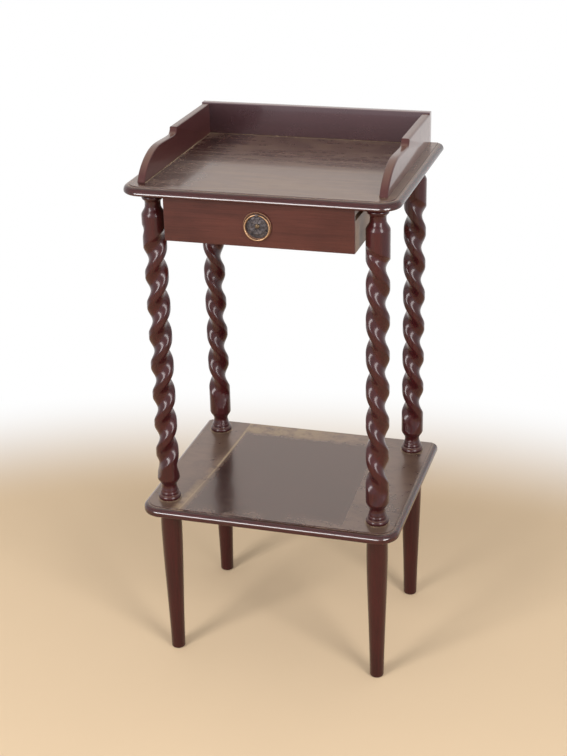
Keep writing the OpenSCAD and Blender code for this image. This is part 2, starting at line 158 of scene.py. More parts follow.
def stack(rings: Array, ends: Ends = Ends.FAN) -> Shell:
    """Skins a stack of closed rings.

    Args:
        rings: (rows, columns, 3) points; row i joins row i + 1, and the last column joins the first.
        ends: how the first and last ring are closed.

    Returns:
        The skin, its faces outward.
    """
    rows, cols = rings.shape[:2]
    points = rings.reshape(-1, 3)
    last = rows if ends is Ends.JOINED else rows - 1
    i, j = np.meshgrid(np.arange(last), np.arange(cols), indexing="ij")
    below, above, beside = i * cols, (i + 1) % rows * cols, (j + 1) % cols
    quads = np.stack([below + j, below + beside, above + beside, above + j], axis=-1).reshape(-1, 4)
    faces = [quads]
    foot, head = np.arange(cols), (rows - 1) * cols + np.arange(cols)
    if ends is Ends.FLAT:
        faces += [foot[None, ::-1], head[None, :]]
    elif ends is Ends.FAN:
        middle = len(points)
        points = np.vstack([points, rings[0].mean(axis=0), rings[-1].mean(axis=0)])
        low = np.column_stack([np.full(cols, middle), np.roll(foot, -1), foot])
        high = np.column_stack([np.full(cols, middle + 1), head, np.roll(head, -1)])
        faces.append(np.vstack([low, high]))
    return Shell(points, faces).outward()


def extruded(outline: Array, start: float, end: float, axis: int, slices: int = 1) -> Shell:
    """Runs a flat outline along one axis.

    Args:
        outline: (n, 2) points in the other two axes, in X, Y, Z order.
        start, end: where the run begins and ends.
        axis: 0, 1 or 2.
        slices: how many stretches the run is cut into.

    Returns:
        The skin with flat ends.
    """
    places = np.linspace(start, end, slices + 1)
    rings = np.zeros((len(places), len(outline), 3))
    rings[:, :, [k for k in range(3) if k != axis]] = outline
    rings[:, :, axis] = places[:, None]
    return stack(rings, Ends.FLAT)


def put(name: str, *shells: Shell, sharp: float = 32.0) -> Piece:
    """Makes a piece of one or more shells.

    Args:
        name: the piece's name.
        shells: its skins.
        sharp: the angle in degrees above which an edge stays sharp.

    Returns:
        The new object, at the origin, with its place in its mesh.
    """
    points, groups, offset = [], [], 0
    for shell in shells:
        points.append(shell.points)
        groups += [group + offset for group in shell.faces]
        offset += len(shell.points)
    loops = np.concatenate([group.ravel() for group in groups])
    totals = np.concatenate([np.full(len(group), group.shape[1]) for group in groups])
    mesh = bpy.data.meshes.new(name)
    mesh.vertices.add(offset)
    mesh.vertices.foreach_set("co", np.vstack(points).astype(np.float32).ravel())
    mesh.loops.add(len(loops))
    mesh.loops.foreach_set("vertex_index", loops.astype(np.int32))
    mesh.polygons.add(len(totals))
    mesh.polygons.foreach_set("loop_start", (np.cumsum(totals) - totals).astype(np.int32))
    mesh.update(calc_edges=True)
    mesh.validate()
    mesh.shade_smooth()
    mesh.set_sharp_from_angle(angle=math.radians(sharp))
    piece = bpy.data.objects.new(name, mesh)
    bpy.context.scene.collection.objects.link(piece)
    return piece


def soften(piece: Piece, width: float, segments: int = 2, angle: float = 40.0) -> Piece:
    """Rounds a piece's arrises.

    Args:
        piece: the piece.
        width: how far each rounding reaches from the edge.
        segments: the number of facets across it.
        angle: the angle in degrees above which an edge is rounded.

    Returns:
        The same piece.
    """
    bevel = piece.modifiers.new("arris", "BEVEL")
    bevel.width, bevel.segments = width, segments
    bevel.limit_method, bevel.angle_limit = "ANGLE", math.radians(angle)
    bevel.harden_normals = True
    return piece


def seat(piece: Piece, finish: bpy.types.Material, body: str, slot: str, *nodes: str) -> None:
    """Gives a piece its finish and its body, and lets it stand for its nodes.

    Args:
        piece: the piece.
        finish: its material.
        body: the body that it rides on.
        slot: the record's material slot; not used.
        nodes: the nodes that it replaces.
    """
    piece.data.materials.clear()
    piece.data.materials.append(finish)
    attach(piece, body)
    if nodes:
        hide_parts(*nodes)
    log.info("%s: %d faces on %s", piece.name, len(piece.data.polygons), body)


def dress(node: str, finish: bpy.types.Material) -> None:
    """Gives a node that stays as it was packed a better finish.

    Args:
        node: the node.
        finish: its material.
    """
    mesh = frame["nodes"][node].data
    mesh.materials.clear()
    mesh.materials.append(finish)
    log.info("%s: kept as packed", node)


# ---------------------------------------------------------------- shader maths


Number = Union["Signal", float]


def maths(operation: str) -> Callable[["Signal", Number], "Signal"]:
    """Makes an operator of Signal.

    Args:
        operation: what the operator's Math node does.

    Returns:
        The operator, which feeds its two values to a new Math node.
    """
    def apply(first: "Signal", second: Number) -> "Signal":
        """The node's output."""
        return first.sheet.node("ShaderNodeMath", first, second, settings={"operation": operation})
    return apply


@dataclass
class Signal:
    """A number, colour or vector that varies over a surface: the output socket of a shader node."""

    sheet: "Sheet"
    socket: bpy.types.NodeSocket

    __add__ = __radd__ = maths("ADD")
    __sub__ = maths("SUBTRACT")
    __mul__ = __rmul__ = maths("MULTIPLY")
    __truediv__ = maths("DIVIDE")
    __pow__ = maths("POWER")
    over = maths("MAXIMUM")
    under = maths("MINIMUM")

    def __rsub__(self, other: float) -> "Signal":
        """Other less this."""
        return self.sheet.node("ShaderNodeMath", other, self, settings={"operation": "SUBTRACT"})

    def __abs__(self) -> "Signal":
        """This without its sign."""
        return self.sheet.node("ShaderNodeMath", self, settings={"operation": "ABSOLUTE"})

    def root(self) -> "Signal":
        """The square root."""
        return self.sheet.node("ShaderNodeMath", self, settings={"operation": "SQRT"})

    def ease(self, start: float, end: float) -> "Signal":
        """Smooth step.

        Args:
            start, end: the values at which the step begins and ends; end may be the smaller.

        Returns:
            0 where this is start, 1 where it is end, and three t squared less two t cubed between.
        """
        if end < start:
            return 1.0 - self.ease(end, start)
        settings = {"interpolation_type": "SMOOTHSTEP"}
        return self.sheet.node("ShaderNodeMapRange", self, start, end, 0.0, 1.0, settings=settings)


Value = Union[Signal, float, Sequence[float]]


class Sheet:
    """The nodes of one finish, or of the surround."""

    def __init__(self, name: str, world: bool = False) -> None:
        """Starts an empty sheet with its output node.

        Args:
            name: the finish's or world's name.
            world: whether it is a world.
        """
        self.owner = (bpy.data.worlds if world else bpy.data.materials).new(name)
        self.owner.use_nodes = True
        self.tree = self.owner.node_tree
        self.tree.nodes.clear()
        kind = "ShaderNodeOutputWorld" if world else "ShaderNodeOutputMaterial"
        self.output = self.tree.nodes.new(kind)

    def node(self, kind: str, *values: Value, settings: Optional[dict] = None, out: Union[int, str] = 0,
             **named: Value) -> Signal:
        """Adds a node.

        Args:
            kind: the node's type.
            values: values or links of its first sockets, in order.
            settings: its properties, set first.
            out: the index or name of the output that is wanted.
            named: values or links of sockets by name, a space in the name written as an underscore.

        Returns:
            The wanted output.
        """
        node = self.tree.nodes.new(kind)
        for key, setting in (settings or {}).items():
            setattr(node, key, setting)
        for index, value in enumerate(values):
            self._feed(node.inputs[index], value)
        for key, value in named.items():
            self._feed(node.inputs[key.replace("_", " ")], value)
        return Signal(self, node.outputs[out])

    def _feed(self, socket: bpy.types.NodeSocket, value: Value) -> None:
        """Links a signal to a socket, or sets the socket's value.

        Args:
            socket: the socket.
            value: the signal, number, vector or colour.
        """
        if isinstance(value, Signal):
            self.tree.links.new(value.socket, socket)
        elif socket.type == "RGBA" and len(value) == 3:
            socket.default_value = (*value, 1.0)
        else:
            socket.default_value = value

    def place(self) -> Signal:
        """The point on the piece, in metres, in the stand's own frame."""
        return self.node("ShaderNodeTexCoord", out="Object")

    def axes(self) -> tuple[Signal, Signal, Signal]:
        """The point's X, Y and Z in millimetres."""
        parts = self.node("ShaderNodeSeparateXYZ", self.place()).socket.node
        return tuple(Signal(self, output) * 1000.0 for output in parts.outputs)

    def facing(self) -> Signal:
        """How far the surface faces up, from -1 to 1."""
        normal = self.node("ShaderNodeNewGeometry", out="Normal")
        return self.node("ShaderNodeSeparateXYZ", normal, out="Z")

    def seen(self) -> Signal:
        """What the camera sees, directly, in a reflection or through glass.

        Returns:
            1 for a ray of sight and 0 for one that only lights the pieces.
        """
        path = self.node("ShaderNodeLightPath").socket.node
        camera, glossy, through = (Signal(self, path.outputs[f"Is {way} Ray"])
                                   for way in ("Camera", "Glossy", "Transmission"))
        return camera.over(glossy).over(through)

    def noise(self, scale: Union[float, Sequence[float]], detail: float = 4.0, rough: float = 0.55,
              warp: float = 0.0, seed: float = 0.0) -> Signal:
        """Soft noise from 0 to 1.

        Args:
            scale: features per metre, one number or one each along X, Y and Z.
            detail: the number of finer layers.
            rough: the weight of the finer layers.
            warp: how far the noise pushes itself about.
            seed: moves the pattern, so that two noises differ.

        Returns:
            The noise.
        """
        spread = (scale,) * 3 if isinstance(scale, float) else tuple(scale)
        shift = (seed, seed * 0.7, seed * 1.3)
        spot = self.node("ShaderNodeMapping", self.place(), Location=shift, Scale=spread)
        return self.node("ShaderNodeTexNoise", Vector=spot, Scale=1.0, Detail=detail, Roughness=rough,
                         Distortion=warp)

    def blend(self, factor: Value, first: Value, second: Value) -> Signal:
        """Mixes two colours.

        Args:
            factor: 0 for the first, 1 for the second.
            first, second: the colours.

        Returns:
            The mixed colour.
        """
        mix = self.tree.nodes.new("ShaderNodeMix")
        mix.data_type = "RGBA"
        for index, value in ((0, factor), (6, first), (7, second)):
            self._feed(mix.inputs[index], value)
        return Signal(self, mix.outputs[2])

    def cross(self, factor: Value, first: Signal, second: Signal) -> Signal:
        """A surface between two: the first where factor is 0, the second where it is 1."""
        return self.node("ShaderNodeMixShader", factor, first, second)

    def bump(self, height: Signal, depth: float) -> Signal:
        """A normal from a height that runs from 0 to 1 over depth, in metres."""
        return self.node("ShaderNodeBump", Strength=1.0, Distance=depth, Height=height)

    def surface(self, **sockets: Value) -> Signal:
        """A Principled surface that has the given sockets."""
        return self.node("ShaderNodeBsdfPrincipled", **sockets)

    def close(self, surface: Signal) -> bpy.types.ID:
        """Closes the sheet with a surface, and returns its finish or world."""
        self.tree.links.new(surface.socket, self.output.inputs[0])
        return self.owner


# ---------------------------------------------------------------- finishes


def srgb(red: float, green: float, blue: float) -> Rgb:
    """A colour given as screen values from 0 to 255, as the linear values that shaders take."""
    parts = (v / 255.0 for v in (red, green, blue))
    return tuple(v / 12.92 if v <= 0.04045 else ((v + 0.055) / 1.055) ** 2.4 for v in parts)


def shaded(colour: Rgb, share: float) -> Rgb:
    """A colour darkened to a share of itself."""
    return tuple(share * part for part in colour)


class Grain(Enum):
    """The axis that wood grain runs along."""

    X = 0
    Y = 1
    Z = 2

    def scale(self, along: float, across: float) -> tuple[float, float, float]:
        """Features per metre along and across the grain, as X, Y and Z."""
        return tuple(along if axis == self.value else across for axis in range(3))


class Dirt:
    """Dust and wear on a lacquered piece; a plain piece has a little where it faces up."""

    def mask(self, sheet: Sheet) -> Signal:
        """How dusty each point is, from 0 to 1: specks, and a thin layer on what faces up."""
        specks = sheet.noise(500.0, 2.0, 0.7, seed=3.1)
        return specks.ease(0.68, 0.8) * 0.05 + sheet.facing().ease(0.55, 1.0) * 0.22


@dataclass(frozen=True)
class TrayDustAndReflection(Dirt):
    """Dust of the top board, in the corners under the gallery panels and in smears over the flat, and a
    painted reflection that lightens its front half and the part towards the back panel.

    The places are the gallery's inner faces and front end; the rest is how thick each kind of dust lies and
    how strong the painted reflection is.
    """

    inner_x: float
    inner_back: float
    front: float
    line: float = 0.95
    haze: float = 0.28
    nook: float = 0.5
    worn: float = 0.24
    smears: float = 0.22
    front_veil_and_reflection: float = 0.26
    rear_veil_and_reflection: float = 0.15

    def mask(self, sheet: Sheet) -> Signal:
        """How dusty each point is.

        Args:
            sheet: the finish that it is for.

        Returns:
            The thickest of a line and a haze that fall off with the distance from the gallery's inner
            faces, a nook, smears along X, a painted reflection with a little haze that lightens the front
            half and the part towards the back panel away from the left panel, a worn left part, and the rim
            outside.
        """
        x, y, _ = sheet.axes()
        wobble = sheet.noise(60.0, 4.0, 0.6, seed=1.7)
        from_left = x + self.inner_x / MM
        from_back = self.inner_back / MM - y
        corner = (self.inner_x / MM - abs(x)).under(from_back)
        line = corner.ease(3.6, 0.8) * wobble.ease(0.2, 0.5) * self.line
        haze = corner.ease(30.0, 2.0) * wobble.ease(0.42, 0.66) * self.haze
        nook = (from_left + from_back).ease(70.0, 12.0) * wobble.ease(0.3, 0.6) * self.nook
        inside = corner.ease(-1.0, 0.0) * (y - self.front / MM).ease(-1.0, 1.0)
        smear = sheet.noise((8.0, 70.0, 40.0), 6.0, 0.7, 0.4, seed=8.3).ease(0.42, 0.66)
        rub = sheet.noise((34.0, 48.0, 40.0), 5.0, 0.7, 0.9, seed=15.0).ease(0.5, 0.62)
        worn = rub * from_left.ease(70.0, 20.0) * self.worn
        # painted reflection with a little haze: lighter over the front half and towards the back panel, kept
        # off the strip beside the left panel
        veil_and_reflection = y.ease(30.0, -30.0) * self.front_veil_and_reflection + y.ease(-20.0, 90.0) * (self.rear_veil_and_reflection + rub * 0.14)
        film_and_reflection = (smear * self.smears + from_left.ease(50.0, 90.0) * veil_and_reflection).over(worn)
        sill = y.ease(-147.0, -151.0) * 0.3 + abs(x).ease(182.0, 188.0) * 0.2
        dust_and_painted_light = (line.over(haze).over(nook) * inside).over(film_and_reflection).over(sill)
        return dust_and_painted_light * sheet.facing().ease(0.9, 0.99)


@dataclass(frozen=True)
class ShelfDustAndShade(Dirt):
    """Dust of the shelf, round the posts and round the place where a box has long stood, and painted shade
    that leaves its back darker.
    """

    posts: tuple[Spot, ...]
    post_r: float
    box_left: float = -121 * MM
    box_right: float = 104 * MM
    box_back: float = 125 * MM
    half_depth: float = 162 * MM
    ring: float = 0.62
    line: float = 0.85

    def mask(self, sheet: Sheet) -> Signal:
        """How dusty each point is.

        Args:
            sheet: the finish that it is for.

        Returns:
            The thickest of the rings round the posts, a line at the box's left side that bows outwards
            to the front, its skirt, a drift behind the box, films left, right and in front of it, and
            streaks where it stood that grow thicker towards the front: dust, and painted shade that leaves
            the back darker.
        """
        x, y, _ = sheet.axes()
        wobble = sheet.noise(70.0, 5.0, 0.65, seed=4.4)
        grime = sheet.noise((26.0, 40.0, 40.0), 6.0, 0.7, 0.5, seed=9.2)
        streaks = sheet.noise((14.0, 150.0, 40.0), 5.0, 0.7, 0.3, seed=17.0)
        near = (self.half_depth / MM - y) / (2.0 * self.half_depth / MM)
        edge = x - self.box_left / MM + near * near * 17.0 + (wobble - 0.5) * 4.0
        line = abs(edge).ease(3.4, 0.6) * wobble.ease(0.22, 0.5) * self.line
        beside = abs(edge + 4.0).ease(18.0, 0.0)
        skirt = beside * wobble.ease(0.2, 0.6) * (near.ease(0.1, 0.9) * 0.55 + 0.2)
        left = edge.ease(1.0, -3.0) * (grime.ease(0.2, 0.62) * 0.2 + 0.08)
        behind = (y - self.box_back / MM + (wobble - 0.5) * 16.0).ease(-7.0, 9.0) * edge.ease(-3.0, 2.0)
        behind = behind * (x.ease(150.0, -60.0) * 0.5 + 0.3) * wobble.ease(0.15, 0.6)
        bound = x - self.box_right / MM - near * 12.0 + (wobble - 0.5) * 3.0
        right = bound.ease(-1.0, 1.6) * (grime.ease(0.25, 0.6) * 0.2 + 0.06)
        sill = (y + self.half_depth / MM).ease(40.0, 12.0) * grime.ease(0.35, 0.7) * 0.3
        # streaks, thicker towards the front: dust, and painted shade that leaves the back darker
        dust_and_painted_light = streaks.ease(0.5, 0.75) * (near.ease(0.2, 0.8) * 0.09 + 0.03)
        for layer in (line, skirt, left, behind, right, sill):
            dust_and_painted_light = dust_and_painted_light.over(layer)
        for post_x, post_y in self.posts:
            away = ((x - post_x / MM) ** 2.0 + (y - post_y / MM) ** 2.0).root() - self.post_r / MM
            dust_and_painted_light = dust_and_painted_light.over(away.ease(3.4, 1.2) * wobble.ease(0.15, 0.5) * self.ring)
        return dust_and_painted_light * sheet.facing().ease(0.9, 0.99)


@dataclass(frozen=True)
class Lacquer:
    """Stained wood under lacquer.

    The grain is noise drawn out along one axis: broad figure, fine lines and short dark pores. Broad
    blotches change the stain's depth. Dust lightens the colour and dulls the lacquer; on the boards the
    same layer also paints reflection and shade. A board's faces that turn away from up can have a lighter
    red ground, edge, painted as light on the mouldings, under a softer lacquer that fades out underneath.
    """

    name: str
    ground: Rgb
    line: Rgb
    grain: Grain
    rough: float = 0.24
    index: float = 1.5
    coat: float = 1.0
    coat_rough: float = 0.07
    coat_index: float = 1.3
    contrast: float = 0.6
    ripple: float = 0.02 * MM
    sheen: Rgb = WHITE
    # edge: a lighter red ground painted on faces that turn away from up, as light on the mouldings
    edge: Optional[Rgb] = None
    amber: Rgb = (1.0, 0.9, 0.85)
    # dust colours, also used to draw the painted reflection and shade on the boards
    thin_dust_and_painted_light: Rgb = srgb(178, 152, 134)
    thick_dust_and_painted_light: Rgb = srgb(196, 176, 138)

    def make(self, dirt_and_painted_light: Dirt = Dirt()) -> bpy.types.Material:
        """Builds the material.

        Args:
            dirt_and_painted_light: where dust lies, and on the boards where painted reflection and shade lie.

        Returns:
            The material.
        """
        sheet = Sheet(self.name)
        figure = sheet.noise(self.grain.scale(5.0, 60.0), 5.0, 0.6, 0.8)
        lines = sheet.noise(self.grain.scale(12.0, 520.0), 4.0, 0.65, 0.2, seed=2.0)
        pores = sheet.noise(self.grain.scale(90.0, 1500.0), 2.0, 0.5, seed=5.0).ease(0.62, 0.72)
        blotch = sheet.noise(14.0, 3.0, 0.5, seed=7.0)
        tone = (figure * 0.45 + lines * 0.4 + blotch * 0.35).ease(0.42, 0.8) * self.contrast
        stain = sheet.blend(tone, self.ground, self.line)
        stain = sheet.blend(pores * 0.45, stain, shaded(self.ground, 0.35))
        # on the boards this mask also holds painted reflection and painted shade, drawn in the dust colours
        dust_and_painted_light = dirt_and_painted_light.mask(sheet)
        colour = sheet.blend(dust_and_painted_light * 0.7, stain, sheet.blend(dust_and_painted_light, self.thin_dust_and_painted_light, self.thick_dust_and_painted_light))
        satin = sheet.noise(45.0, 5.0, 0.7, seed=11.0)
        rough = (satin * 0.14 + (self.rough - 0.07)) + dust_and_painted_light * 0.45
        scratch = sheet.noise(self.grain.scale(30.0, 900.0), 2.0, 0.4, seed=13.0)
        height = sheet.noise(170.0, 3.0, 0.5, seed=12.0) + scratch * 0.25 - pores * 0.4
        normal = sheet.bump(height, self.ripple)
        flat = sheet.surface(Base_Color=colour, Roughness=rough, IOR=self.index, Specular_Tint=self.sheen,
                             Coat_Weight=(1.0 - dust_and_painted_light * 0.75) * self.coat, Coat_Roughness=self.coat_rough,
                             Coat_IOR=self.coat_index, Coat_Tint=self.amber, Normal=normal)
        if self.edge is None:
            return sheet.close(flat)
        # faces that turn away from up get the edge ground: a lighter red painted as light on the mouldings
        # and underside
        facing = sheet.facing()
        edge = sheet.surface(Base_Color=sheet.blend(tone, self.edge, self.line), Roughness=0.4, IOR=1.12,
                             Coat_Weight=facing.ease(-0.97, -0.7), Coat_Roughness=0.15, Coat_IOR=1.42,
                             Normal=normal)
        return sheet.close(sheet.cross(facing.ease(0.7, 0.97), edge, flat))


@dataclass(frozen=True)
class BareWood:
    """Planed softwood without finish, as inside the drawer: pale ground, darker lines, stains."""

    name: str
    grain: Grain
    ground: Rgb = srgb(176, 140, 100)
    line: Rgb = srgb(140, 102, 68)

    def make(self) -> bpy.types.Material:
        """Builds the material.

        Returns:
            The material.
        """
        sheet = Sheet(self.name)
        figure = sheet.noise(self.grain.scale(3.0, 45.0), 4.0, 0.6, 1.2)
        lines = sheet.noise(self.grain.scale(8.0, 700.0), 3.0, 0.6, seed=2.0)
        stains = sheet.noise(18.0, 5.0, 0.65, seed=6.0).ease(0.5, 0.75) * 0.35
        tone = (figure * 0.6 + lines * 0.5).ease(0.4, 0.75)
        colour = sheet.blend(stains, sheet.blend(tone, self.ground, self.line), shaded(self.line, 0.5))
        normal = sheet.bump(lines + figure * 0.5, 0.05 * MM)
        return sheet.close(sheet.surface(Base_Color=colour, Roughness=lines * 0.2 + 0.55, IOR=1.45,
                                         Normal=normal))


@dataclass(frozen=True)
class Metal:
    """Metal with a patina: tarnish gathers in blotches, fine scratches run all ways."""

    name: str
    bright: Rgb
    tarnish: Rgb
    cover: float
    rough: float
    rim: Rgb = srgb(128, 96, 78)

    def make(self, middle: Optional[Vector] = None, reach: float = 0.0) -> bpy.types.Material:
        """Builds the material.

        Args:
            middle: the middle of a round plate that faces -Y, if its rim has another colour.
            reach: the radius from which the rim's colour shows.

        Returns:
            The material.
        """
        sheet = Sheet(self.name)
        blotch = sheet.noise(260.0, 5.0, 0.65, 0.5)
        fine = sheet.noise(1400.0, 3.0, 0.6, seed=4.0)
        dull = (blotch * 0.75 + fine * 0.35).ease(0.82 - self.cover, 1.0 - self.cover * 0.7)
        colour = sheet.blend(dull, self.bright, self.tarnish)
        if middle is not None:
            x, _, z = sheet.axes()
            away = ((x - middle.x / MM) ** 2.0 + (z - middle.z / MM) ** 2.0).root()
            colour = sheet.blend(away.ease(reach / MM - 1.0, reach / MM + 1.0), colour, self.rim)
        normal = sheet.bump(fine + blotch * 0.6, 0.03 * MM)
        rough = dull * 0.28 + (fine * 0.12 + self.rough)
        return sheet.close(sheet.surface(Base_Color=colour, Roughness=rough, Metallic=1.0, Normal=normal))


@dataclass(frozen=True)
class Finishes:
    """The stand's finishes, shared by its assemblies."""

    # the boards' edge colour is painted light: a lighter red where the surface turns away from up
    boards: Lacquer = Lacquer("dark board lacquer", srgb(28, 14, 14), srgb(46, 24, 22), Grain.X, rough=0.21,
                              index=1.96, coat_rough=0.09, coat_index=1.15, ripple=0.007 * MM, contrast=0.5,
                              edge=srgb(58, 20, 20), sheen=(1.0, 0.93, 0.89))
    panels: Lacquer = Lacquer("gallery lacquer", srgb(60, 30, 31), srgb(82, 42, 41), Grain.Y, rough=0.3,
                              index=1.35, sheen=(1.0, 0.92, 0.87))
    back_panel: Lacquer = Lacquer("back panel lacquer", srgb(32, 14, 18), srgb(46, 23, 29), Grain.X,
                                  rough=0.26, index=2.0, coat_index=1.5, sheen=(1.0, 0.75, 0.9))
    turnings: Lacquer = Lacquer("turned work lacquer", srgb(44, 11, 15), srgb(69, 20, 24), Grain.Z,
                                rough=0.42, index=1.15, coat_rough=0.2, coat_index=1.4, ripple=0.006 * MM)
    drawer_face: Lacquer = Lacquer("drawer front lacquer", srgb(58, 26, 22), srgb(80, 41, 34), Grain.X,
                                   rough=0.36, index=1.3, coat=0.4, coat_rough=0.16, contrast=0.9)
    # the drawer sides' stain is lightened as a painted reflection, standing in for the grazing reflection on
    # sides that lie in shade
    drawer_case: Lacquer = Lacquer("drawer side stain and painted reflection", srgb(128, 104, 86), srgb(154, 128, 106), Grain.Y,
                                   rough=0.44, index=1.42, coat=0.0, contrast=0.5)
    inside: BareWood = BareWood("bare wood along", Grain.Y)
    inside_across: BareWood = BareWood("bare wood across", Grain.X)
    brass: Metal = Metal("aged brass", srgb(168, 135, 105), srgb(108, 84, 62), 0.3, 0.34)
    bolt: Metal = Metal("dull brass", srgb(150, 126, 98), srgb(84, 72, 60), 0.5, 0.4)
    plate: Metal = Metal("dark patina", srgb(104, 98, 100), srgb(62, 58, 60), 0.45, 0.42)
    steel: Metal = Metal("zinc", srgb(176, 176, 174), srgb(120, 118, 112), 0.3, 0.34)


# ---------------------------------------------------------------- boards


@dataclass(frozen=True)
class Board:
    """A board moulded on its front and sides: a quirk, a quarter round and a small round beneath."""

    node: str
    corner_r: float = 31 * MM
    mould_r: float = 8.4 * MM
    under_r: float = 3 * MM
    quirk: float = 0.8 * MM
    flat_rim: float = 1.5 * MM
    flat_under: float = 6 * MM
    arris: float = 0.5 * MM
    steps: int = 24

    def section(self, thickness: float) -> Array:
        """The moulding's section from the underside round to the flat top.

        Args:
            thickness: the board's thickness.

        Returns:
            (n, 2) rows of how far the board is drawn in and the height above its underside: a quarter
            circle beneath, an upright flat, a quarter circle above, and the quirk's step up.
        """
        under = arc(self.under_r, self.under_r, self.under_r, 270.0, 180.0, 8)
        over = arc(self.mould_r, thickness - self.quirk - self.mould_r, self.mould_r, 180.0, 90.0, 18)
        step = [[self.mould_r, thickness], [self.mould_r + self.flat_rim, thickness]]
        return np.vstack([[[self.under_r + self.flat_under, 0.0]], under, over, step])

    def outline(self, low: Vector, high: Vector) -> tuple[Array, Array]:
        """The board's plan, anticlockwise from its back left corner.

        Args:
            low, high: the board's corners.

        Returns:
            (n, 2) points, and (n, 2) ways out of the wood. Both corners at the front are quarter circles.
            Sides and front are straight, and the back stays where it is: its points only slide along it.
        """
        run = np.linspace(0.0, 1.0, self.steps + 1)[1:-1]
        x, y = high.x - self.corner_r, low.y + self.corner_r
        side = np.column_stack([np.full(len(run), high.x), high.y + (y - high.y) * run])
        front = np.column_stack([x * (2.0 * run - 1.0), np.full(len(run), low.y)])
        turns = [arc(0.0, 0.0, 1.0, start, start + 90.0, self.steps) for start in (180.0, 270.0)]
        back = np.column_stack([1.0 - 2.0 * run, np.zeros(len(run))])
        left, down, right = (np.tile(way, (len(run), 1)) for way in ((-1.0, 0.0), (0.0, -1.0), (1.0, 0.0)))
        points = [[(-high.x, high.y)], side * (-1.0, 1.0), turns[0] * self.corner_r + (-x, y), front,
                  turns[1] * self.corner_r + (x, y), side[::-1], [(high.x, high.y)],
                  back * high.x + (0.0, high.y)]
        ways = [left[:1], left, turns[0], down, turns[1], right, right[:1], back]
        return np.vstack(points), np.vstack(ways)

    def build(self) -> Piece:
        """Stacks the plan at the section's heights, each drawn in by its distance, and softens the back.

        Returns:
            The piece.
        """
        low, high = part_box(self.node)
        plan, way = self.outline(low, high)
        drawn_in, height = self.section(high.z - low.z).T[:, :, None, None]
        rings = np.concatenate([plan - drawn_in * way, np.tile(low.z + height, (len(plan), 1))], axis=-1)
        return soften(put(f"{self.node}_moulded", stack(rings, Ends.FLAT)), self.arris)


@dataclass
class Boards:
    """The top board and the shelf."""

    finishes: Finishes
    post_r: float

    def build(self) -> None:
        """Makes both boards, each with its own dust and its own painted light."""
        panel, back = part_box("gallery_side_right")[0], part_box("gallery_back")[0]
        posts = tuple(tuple((sum(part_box(node), Vector()) / 2.0)[:2]) for node in POSTS)
        for node, dirt_and_painted_light in (("top_board", TrayDustAndReflection(panel.x, back.y, panel.y)),
                           ("shelf_board", ShelfDustAndShade(posts, self.post_r))):
            seat(Board(node).build(), self.finishes.boards.make(dirt_and_painted_light), "root", "dark_lacquer", node)


# ---------------------------------------------------------------- gallery


